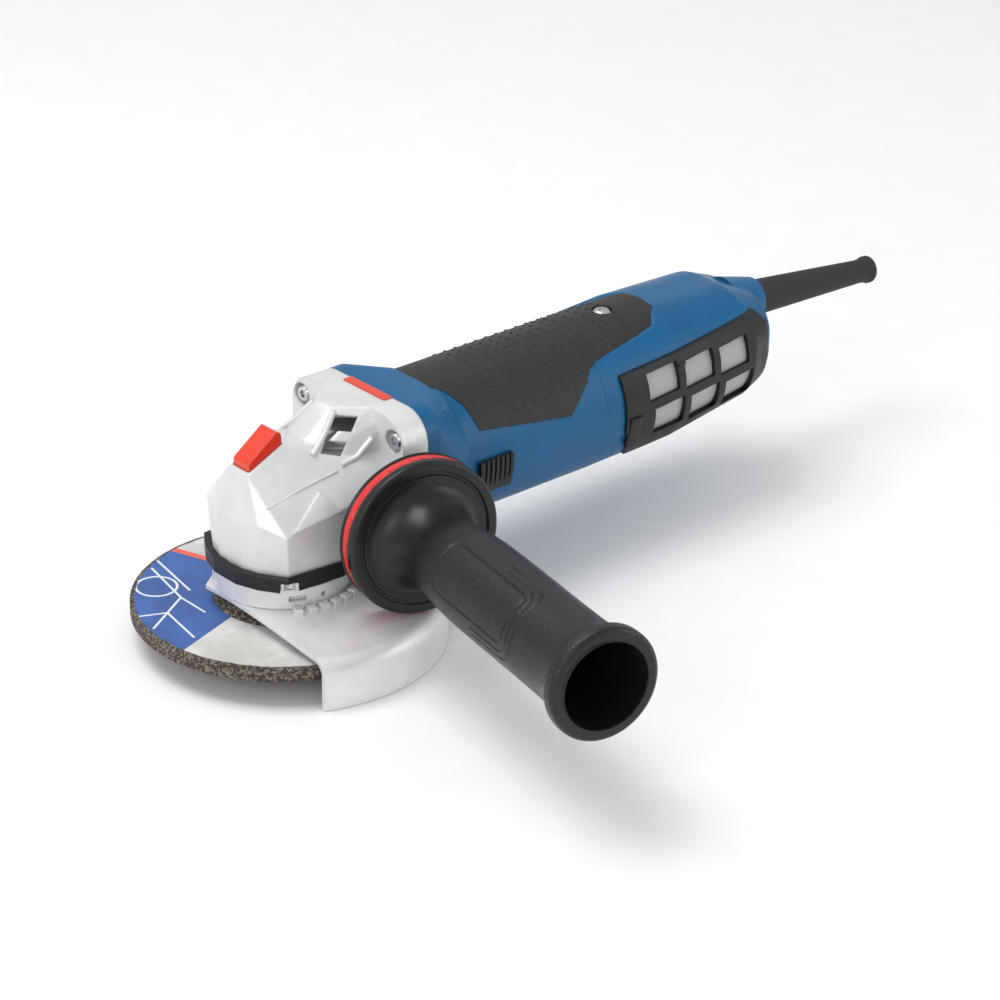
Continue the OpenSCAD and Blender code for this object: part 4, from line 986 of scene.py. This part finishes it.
@dataclass
class SoftPads:
    """The rows of small raised dots on the two soft pads."""

    pitch: float = 5.0 * MM
    dot: float = 0.75 * MM
    lift: float = 2.0 * MM

    def build(self) -> None:
        """Lays the dots over the rear of each pad."""
        centre = self._centre()
        for node, start, end, spread in (("front_pad", 0.34, 0.97, 56.0), ("rear_pad", 0.05, 0.6, 44.0)):
            low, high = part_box(node)
            length = high.x - low.x
            settle(node + "_dots", self._rows(node, low.x + start * length, low.x + end * length, spread,
            centre, high.z - centre), PAD,
                   Body.FIXED)

    @staticmethod
    def _centre() -> float:
        """Height of the motor's axis."""
        low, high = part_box("stator_core")
        return (low.z + high.z) / 2.0

    def _rows(self, name: str, start: float, end: float, spread: float, centre: float,
            radius: float) -> bpy.types.Mesh:
        """Grows the dots of one pad.

        Args:
            name: Name of the pad.
            start: First row's place along X.
            end: Last row's place along X.
            spread: Half angle of the rows in degrees.
            centre: Height of the motor's axis.
            radius: Radius of the pad.

        Returns:
            The dots' mesh.
        """
        g, begin, out = geometry_tree(name + "_dot_rows", {"Rows": 8, "Columns": 9, "Length": 0.05,
            "Arc": 1.0, "Start": 0.0,
                                                          "Centre": 0.05, "Radius": 0.03, "Dot": 0.0005})
        grid = g.add("GeometryNodeMeshGrid", {"Size X": begin.outputs["Length"],
            "Size Y": begin.outputs["Arc"],
                                              "Vertices X": begin.outputs["Rows"],
                                              "Vertices Y": begin.outputs["Columns"]})
        place = g.add("ShaderNodeSeparateXYZ", {0: g.add("GeometryNodeInputPosition").outputs[0]}).outputs
        along = g.math("ADD", g.math("ADD", place[0], g.math("MULTIPLY", begin.outputs["Length"], 0.5)),
            begin.outputs["Start"])
        spot = g.add("ShaderNodeCombineXYZ", {0: along, 1: g.math("MULTIPLY", g.math("SINE", place[1]),
            begin.outputs["Radius"]),
                                              2: g.math("ADD", begin.outputs["Centre"],
                                                        g.math("MULTIPLY", g.math("COSINE", place[1]),
                                                        begin.outputs["Radius"]))})
        skin = g.add("GeometryNodeObjectInfo", {"Object": frame["nodes"][name]})
        middle = g.add("ShaderNodeCombineXYZ", {0: along, 2: begin.outputs["Centre"]}).outputs[0]
        inward = g.vector("SUBTRACT", middle, spot.outputs[0]).outputs[0]
        hit = g.add("GeometryNodeRaycast", {"Target Geometry": skin.outputs["Geometry"],
            "Source Position": spot.outputs[0],
                                            "Ray Direction": inward, "Ray Length": 0.008})
        bent = g.add("GeometryNodeSetPosition", {"Geometry": grid.outputs[0],
            "Selection": hit.outputs["Is Hit"],
                                                 "Position": hit.outputs["Hit Position"]})
        kept = g.add("GeometryNodeDeleteGeometry", {"Geometry": bent.outputs[0],
                                                    "Selection": g.math("SUBTRACT", 1.0, self._landed(g,
                                                    begin))})
        ball = g.add("GeometryNodeMeshIcoSphere", {"Radius": begin.outputs["Dot"], "Subdivisions": 2})
        flat = g.add("GeometryNodeTransform", {"Geometry": ball.outputs[0], "Scale": (1.3, 1.3, 0.55)})
        normal = g.add("FunctionNodeAlignRotationToVector", {"Vector": self._outward(g, begin)}, axis="Z")
        copies = g.add("GeometryNodeInstanceOnPoints", {"Points": kept.outputs[0],
            "Instance": flat.outputs[0],
                                                        "Rotation": normal.outputs[0]})
        deliver(g, copies, PAD, out)
        arc_angle = math.radians(2.0 * spread)
        radius += self.lift
        return grown(name + "_dots", g.tree, {
            "Rows": max(2, round((end - start) / self.pitch)), "Columns": max(2,
            round(arc_angle * radius / self.pitch)),
            "Length": end - start, "Arc": arc_angle, "Start": start, "Centre": centre, "Radius": radius,
            "Dot": self.dot})

    @staticmethod
    def _outward(g: Graph, begin: bpy.types.Node) -> bpy.types.NodeSocket:
        """Direction from the motor's axis to a point.

        Args:
            g: The geometry tree's graph.
            begin: The tree's input node.

        Returns:
            The direction's socket.
        """
        here = g.add("ShaderNodeSeparateXYZ", {0: g.add("GeometryNodeInputPosition").outputs[0]}).outputs
        return g.add("ShaderNodeCombineXYZ", {1: here[1], 2: g.math("SUBTRACT", here[2],
            begin.outputs["Centre"])}).outputs[0]

    def _landed(self, g: Graph, begin: bpy.types.Node) -> bpy.types.NodeSocket:
        """Finds the points that came down onto the pad.

        Args:
            g: The geometry tree's graph.
            begin: The tree's input node.

        Returns:
            1 for a point that has left the height it was cast from, else 0.
        """
        gap = g.vector("LENGTH", self._outward(g, begin)).outputs["Value"]
        return g.math("LESS_THAN", gap, g.math("SUBTRACT", begin.outputs["Radius"], 0.0005))


@dataclass
class HeadRelief:
    """Cast relief of the gear head: on each side a crease, two bars beside the outlets and a cheek panel."""

    crease_radius: float = 0.55 * MM
    bar_radius: float = 1.4 * MM
    rise: float = 1.1 * MM
    root: float = 2.0 * MM
    rounding: float = 0.6 * MM
    samples: int = 3

    def build(self) -> None:
        """Builds the relief on both sides, placed by the boxes of the pieces that it runs between."""
        lock, strip, ring, head = (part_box(n) for n in ("lock_button", "accent_strip", "trim_ring",
            "gear_housing"))
        back, span, half = lock[1].x, strip[0].x - lock[1].x, strip[1].y
        foot, height = ring[1].z, head[1].z - ring[1].z
        lines = {
            "crease": ((lock[0].x, 1.25 * half), (back + 0.35 * span, 1.55 * half), self.crease_radius),
            "inner_bar": ((back + 0.2 * span, half), (back + 0.55 * span, lock[1].y + self.bar_radius),
            self.bar_radius),
            "outer_bar": ((back + 0.4 * span, 1.5 * half), (back + 0.75 * span, 1.5 * half),
            self.bar_radius),
        }
        corners = ((lock[0].x + 0.1 * span, foot + height / 3.0), (back + 0.12 * span,
            foot + 0.55 * height),
                   (back + 0.25 * span, foot + 0.4 * height))
        for name, side in (("near", -1.0), ("far", 1.0)):
            for kind, (start, end, radius) in lines.items():
                self._rib(f"head_{kind}_{name}", start, end, side, radius, head[1].z - radius)
            self._cheek("head_cheek_" + name, corners, side)

    @staticmethod
    def _land(origin: Vector, way: Vector) -> Vector | None:
        """Where a ray meets the casting, or None."""
        hit, point, _, _ = frame["nodes"]["gear_housing"].ray_cast(origin, way)
        return point if hit else None

    def _rib(self, name: str, start: tuple[float, float], end: tuple[float, float], side: float,
            radius: float, top: float) -> None:
        """Lays a round rib on the casting under a straight line in plan.

        Args:
            name: Name of the piece.
            start: First end along X and away from the middle.
            end: Last end along X and away from the middle.
            side: -1 for the near side, 1 for the far side.
            radius: Radius of the rib.
            top: Highest place for the rib's middle line.
        """
        line = []
        for i in range(self.samples):
            share = i / (self.samples - 1)
            x, y = (a + (b - a) * share for a, b in zip(start, end))
            spot = self._land(Vector((x, side * y, 1.0)), Vector((0.0, 0.0, -1.0)))
            if spot:
                line.append((spot.x, spot.y, min(spot.z, top), 1.0))
        curve = bpy.data.curves.new(name + "_path", "CURVE")
        curve.dimensions = "3D"
        curve.bevel_depth = radius
        curve.bevel_resolution = 2
        curve.use_fill_caps = True
        path = curve.splines.new("POLY")
        path.points.add(len(line) - 1)
        for point, place in zip(path.points, line):
            point.co = place
        holder = bpy.data.objects.new(name + "_path", curve)
        bpy.context.scene.collection.objects.link(holder)
        deps = bpy.context.evaluated_depsgraph_get()
        mesh = bpy.data.meshes.new_from_object(holder.evaluated_get(deps), depsgraph=deps)
        bpy.data.objects.remove(holder)
        mesh.name = name
        settle(name, mesh, SILVER, Body.FIXED)

    def _cheek(self, name: str, places: Sequence[tuple[float, float]], side: float) -> None:
        """Raises one bevelled three-cornered panel on the cheek.

        Args:
            name: Name of the piece.
            places: The corners along X and Z.
            side: -1 for the near side, 1 for the far side.
        """
        cast = [self._land(Vector((x, side, z)), Vector((0.0, -side, 0.0))) for x, z in places]
        corners = [c for c in cast if c]
        if len(corners) < len(places):
            return
        out = (corners[1] - corners[0]).cross(corners[2] - corners[0]).normalized()
        out = out if out.y * side > 0.0 else -out
        count = len(corners)
        points = [c + out * self.rise for c in corners] + [c - out * self.root for c in corners]
        rings = [tuple(range(count)), tuple(range(2 * count - 1, count - 1, -1))]
        walls = [(i, count + i, count + (i + 1) % count, (i + 1) % count) for i in range(count)]
        mesh = closed(name, points, rings + walls)
        form = bmesh.new()
        form.from_mesh(mesh)
        rim = [e for e in form.edges if all(v.index < count for v in e.verts)]
        bmesh.ops.bevel(form, geom=rim, offset=self.rounding, segments=3, profile=0.5, affect="EDGES")
        form.to_mesh(mesh)
        form.free()
        settle(name, mesh, SILVER, Body.FIXED)


@dataclass
class DamperRelief:
    """Raised blocks round the red damping ring of the side handle."""

    axis: Axis
    blocks: int = 20
    rise: float = 0.15 * MM
    sink: float = 0.6 * MM
    depth: float = 1.2 * MM
    round_share: float = 0.62
    width_share: float = 0.55

    def build(self) -> None:
        """Sets the blocks round the ring."""
        start, end, radius = self.axis.reach("damper_ring")
        g, begin, out = geometry_tree("damper_block_ring", {"Blocks": 20, "Radius": 0.03, "Size": (0.005,
            0.001, 0.002)})
        circle = g.add("GeometryNodeMeshCircle", {"Vertices": begin.outputs["Blocks"],
            "Radius": begin.outputs["Radius"]})
        block = g.add("GeometryNodeMeshCube", {"Size": begin.outputs["Size"], "Vertices X": 4})
        here = g.add("GeometryNodeInputPosition").outputs[0]
        facing = g.add("FunctionNodeAlignRotationToVector", {"Vector": here}, axis="Y")
        copies = g.add("GeometryNodeInstanceOnPoints", {"Points": circle.outputs[0],
            "Instance": block.outputs[0],
                                                        "Rotation": facing.outputs[0]})
        deliver(g, copies, RED_RUBBER, out)
        width = 2.0 * math.pi * radius / self.blocks * self.round_share
        mesh = grown("damper_blocks", g.tree, {"Blocks": self.blocks,
            "Radius": radius + self.rise - self.sink,
                                               "Size": (width, self.depth,
                                               (end - start) * self.width_share)})
        shift = Matrix.Translation((0.0, 0.0, (start + end) / 2.0))
        mesh.transform(self.axis.place() @ shift)
        settle("damper_blocks", mesh, RED_RUBBER, Body.FIXED)


@dataclass
class FilterDetail:
    """Snap tabs over the windows and the grip block of each filter panel."""

    tabs: int = 7
    first_tab: float = 17.0 * MM
    tab_step: float = 8.6 * MM
    tab_below_top: float = 8.0 * MM
    tab_fall: float = 0.35 * MM
    thumb_inset: float = 7.0 * MM
    thumb_drop: float = 9.0 * MM
    thumb: tuple[float, float, float] = (7.0 * MM, 2.0 * MM, 15.0 * MM)
    tab: tuple[float, float, float] = (4.2 * MM, 1.6 * MM, 1.6 * MM)

    def build(self) -> None:
        """Builds both sides' tabs and blocks on the panels' own outer faces."""
        for node in ("filter_panel_near", "filter_panel_far"):
            low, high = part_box(node)
            side = -1.0 if node.endswith("near") else 1.0
            spots = [(low.x + self.first_tab + i * self.tab_step,
                high.z - self.tab_below_top - i * self.tab_fall)
                     for i in range(self.tabs)]
            self._blocks(node + "_tabs", node, side, spots, self.tab)
            place = (low.x + self.thumb_inset, (low.z + high.z) / 2.0 - self.thumb_drop)
            self._blocks(node + "_thumb_block", node, side, [place], self.thumb)

    @staticmethod
    def _blocks(name: str, node: str, side: float, spots: Sequence[tuple[float, float]], size: tuple[float,
            float, float]) -> None:
        """Sets one bevelled block on a panel at each spot.

        Args:
            name: Name of the piece.
            node: The panel's node.
            side: -1 for the handle's side, 1 for the other.
            spots: The blocks' places along X and Z.
            size: The block's length, depth and height.
        """
        mesh_in = frame["nodes"][node]
        form = bmesh.new()
        for x, z in spots:
            hit, point, normal, _ = mesh_in.ray_cast(Vector((x, side * 0.2, z)), Vector((0.0, -side, 0.0)))
            if not hit:
                continue
            turn = normal.to_track_quat("Y", "Z").to_matrix().to_4x4()
            turn.translation = point + normal * (0.2 * MM - size[1] / 2.0 + 0.2 * MM)
            cube = bmesh.ops.create_cube(form, size=1.0, matrix=turn @ Matrix.Diagonal((*size, 1.0)))
            edges = list({e for v in cube["verts"] for e in v.link_edges})
            bmesh.ops.bevel(form, geom=edges, offset=0.35 * MM, segments=2, profile=0.5, affect="EDGES")
        mesh = bpy.data.meshes.new(name)
        form.to_mesh(mesh)
        form.free()
        if mesh.polygons:
            settle(name, mesh, BLACK, Body.FIXED)


# ---------- studio ----------


@dataclass
class Studio:
    """Pale floor, soft lights and the camera."""

    aim: Vector = field(default_factory=lambda: Vector((0.0774, -0.0455, 0.0458)))
    heading: float = -42.05
    elevation: float = 26.70
    roll: float = 1.12
    distance: float = 1.4
    lens: float = 123.26
    sensor: float = 36.0

    def build(self) -> None:
        """Builds the floor, the lights, the world and the camera."""
        self._floor()
        self._world()
        self._light("key", (-0.25, 0.35, 1.35), 0.8, 10.5)
        self._light("fill", (-1.1, -0.5, 0.6), 0.7, 4.0)
        self._light("side", (0.9, -0.9, 0.45), 0.7, 2.4)
        self._camera()

    def _floor(self) -> None:
        """Lays a wide pale floor just under the object."""
        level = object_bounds()[0][2] - 0.0002
        side = 4.0
        mesh = bpy.data.meshes.new("floor")
        mesh.from_pydata([(x, y, level) for x, y in ((-side, -side), (side, -side), (side, side), (-side,
        side))], [], [(0, 1, 2, 3)])
        floor = bpy.data.objects.new("floor", mesh)
        bpy.context.scene.collection.objects.link(floor)
        finish = Finish("pale_floor", (0.92, 0.92, 0.92), 0.75, 0.0, 0.0, 2.0 * MM, 0.01 * MM, 0.01,
            0.1 * MM, (0.9, 0.9, 0.9), 0.0)
        mesh.materials.append(finish.material())
        floor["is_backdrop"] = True

    @staticmethod
    def _world() -> None:
        """Lights the room evenly in white."""
        world = bpy.data.worlds.new("studio")
        world.use_nodes = True
        back = world.node_tree.nodes["Background"]
        back.inputs[0].default_value = (1.0, 1.0, 1.0, 1.0)
        back.inputs[1].default_value = 0.66
        bpy.context.scene.world = world

    def _light(self, name: str, place: tuple[float, float, float], size: float, power: float) -> None:
        """Hangs one square soft light that faces the object.

        Args:
            name: Name of the light.
            place: Its place in metres.
            size: Length of its side in metres.
            power: Its power in watts.
        """
        lamp = bpy.data.lights.new(name, "AREA")
        lamp.size = size
        lamp.energy = power
        holder = bpy.data.objects.new(name, lamp)
        holder.location = place
        holder.rotation_euler = (Vector(place) - self.aim).to_track_quat("Z", "Y").to_euler()
        bpy.context.scene.collection.objects.link(holder)

    def _camera(self) -> None:
        """Sets the camera on its viewing line."""
        a, e, roll = (math.radians(v) for v in (self.heading, self.elevation, self.roll))
        back = Vector((math.sin(a) * math.cos(e), -math.cos(a) * math.cos(e), math.sin(e)))
        right = Vector((math.cos(a), math.sin(a), 0.0))
        up = back.cross(right)
        side = math.cos(roll) * right + math.sin(roll) * up
        top = math.cos(roll) * up - math.sin(roll) * right
        lens = bpy.data.cameras.new("camera")
        lens.lens = self.lens
        lens.sensor_width = self.sensor
        lens.clip_end = 20.0
        camera = bpy.data.objects.new("camera", lens)
        turn = Matrix((side, top, back)).transposed().to_4x4()
        turn.translation = self.aim + back * self.distance
        camera.matrix_world = turn
        bpy.context.scene.collection.objects.link(camera)
        bpy.context.scene.camera = camera


def handle_axis() -> Axis:
    """The side handle's axis, mirrored from its spare socket."""
    socket = next(m for m in frame["record"]["mounts"] if m["name"] == "spare_handle_hole")
    mirror = Vector((1.0, -1.0, 1.0))
    return Axis(Vector(socket["pos_m"]) * mirror, (Vector(socket["axis"]) * mirror).normalized())


def main() -> None:
    """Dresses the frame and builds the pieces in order."""
    logging.basicConfig(level=logging.INFO, format="%(name)s: %(message)s")
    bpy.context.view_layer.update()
    bpy.context.scene.view_settings.view_transform = "Standard"
    for finish, nodes in NODE_FINISH.items():
        for node in nodes:
            dress(node, finish)
    for part in (GrindingDisc(), Guard(), HeadRelief(), SideHandle(handle_axis()),
        DamperRelief(handle_axis()), SoftPads(),
                 FilterDetail(), Studio()):
        part.build()
        LOG.info("built %s", type(part).__name__)


if __name__ == "__main__":
    main()
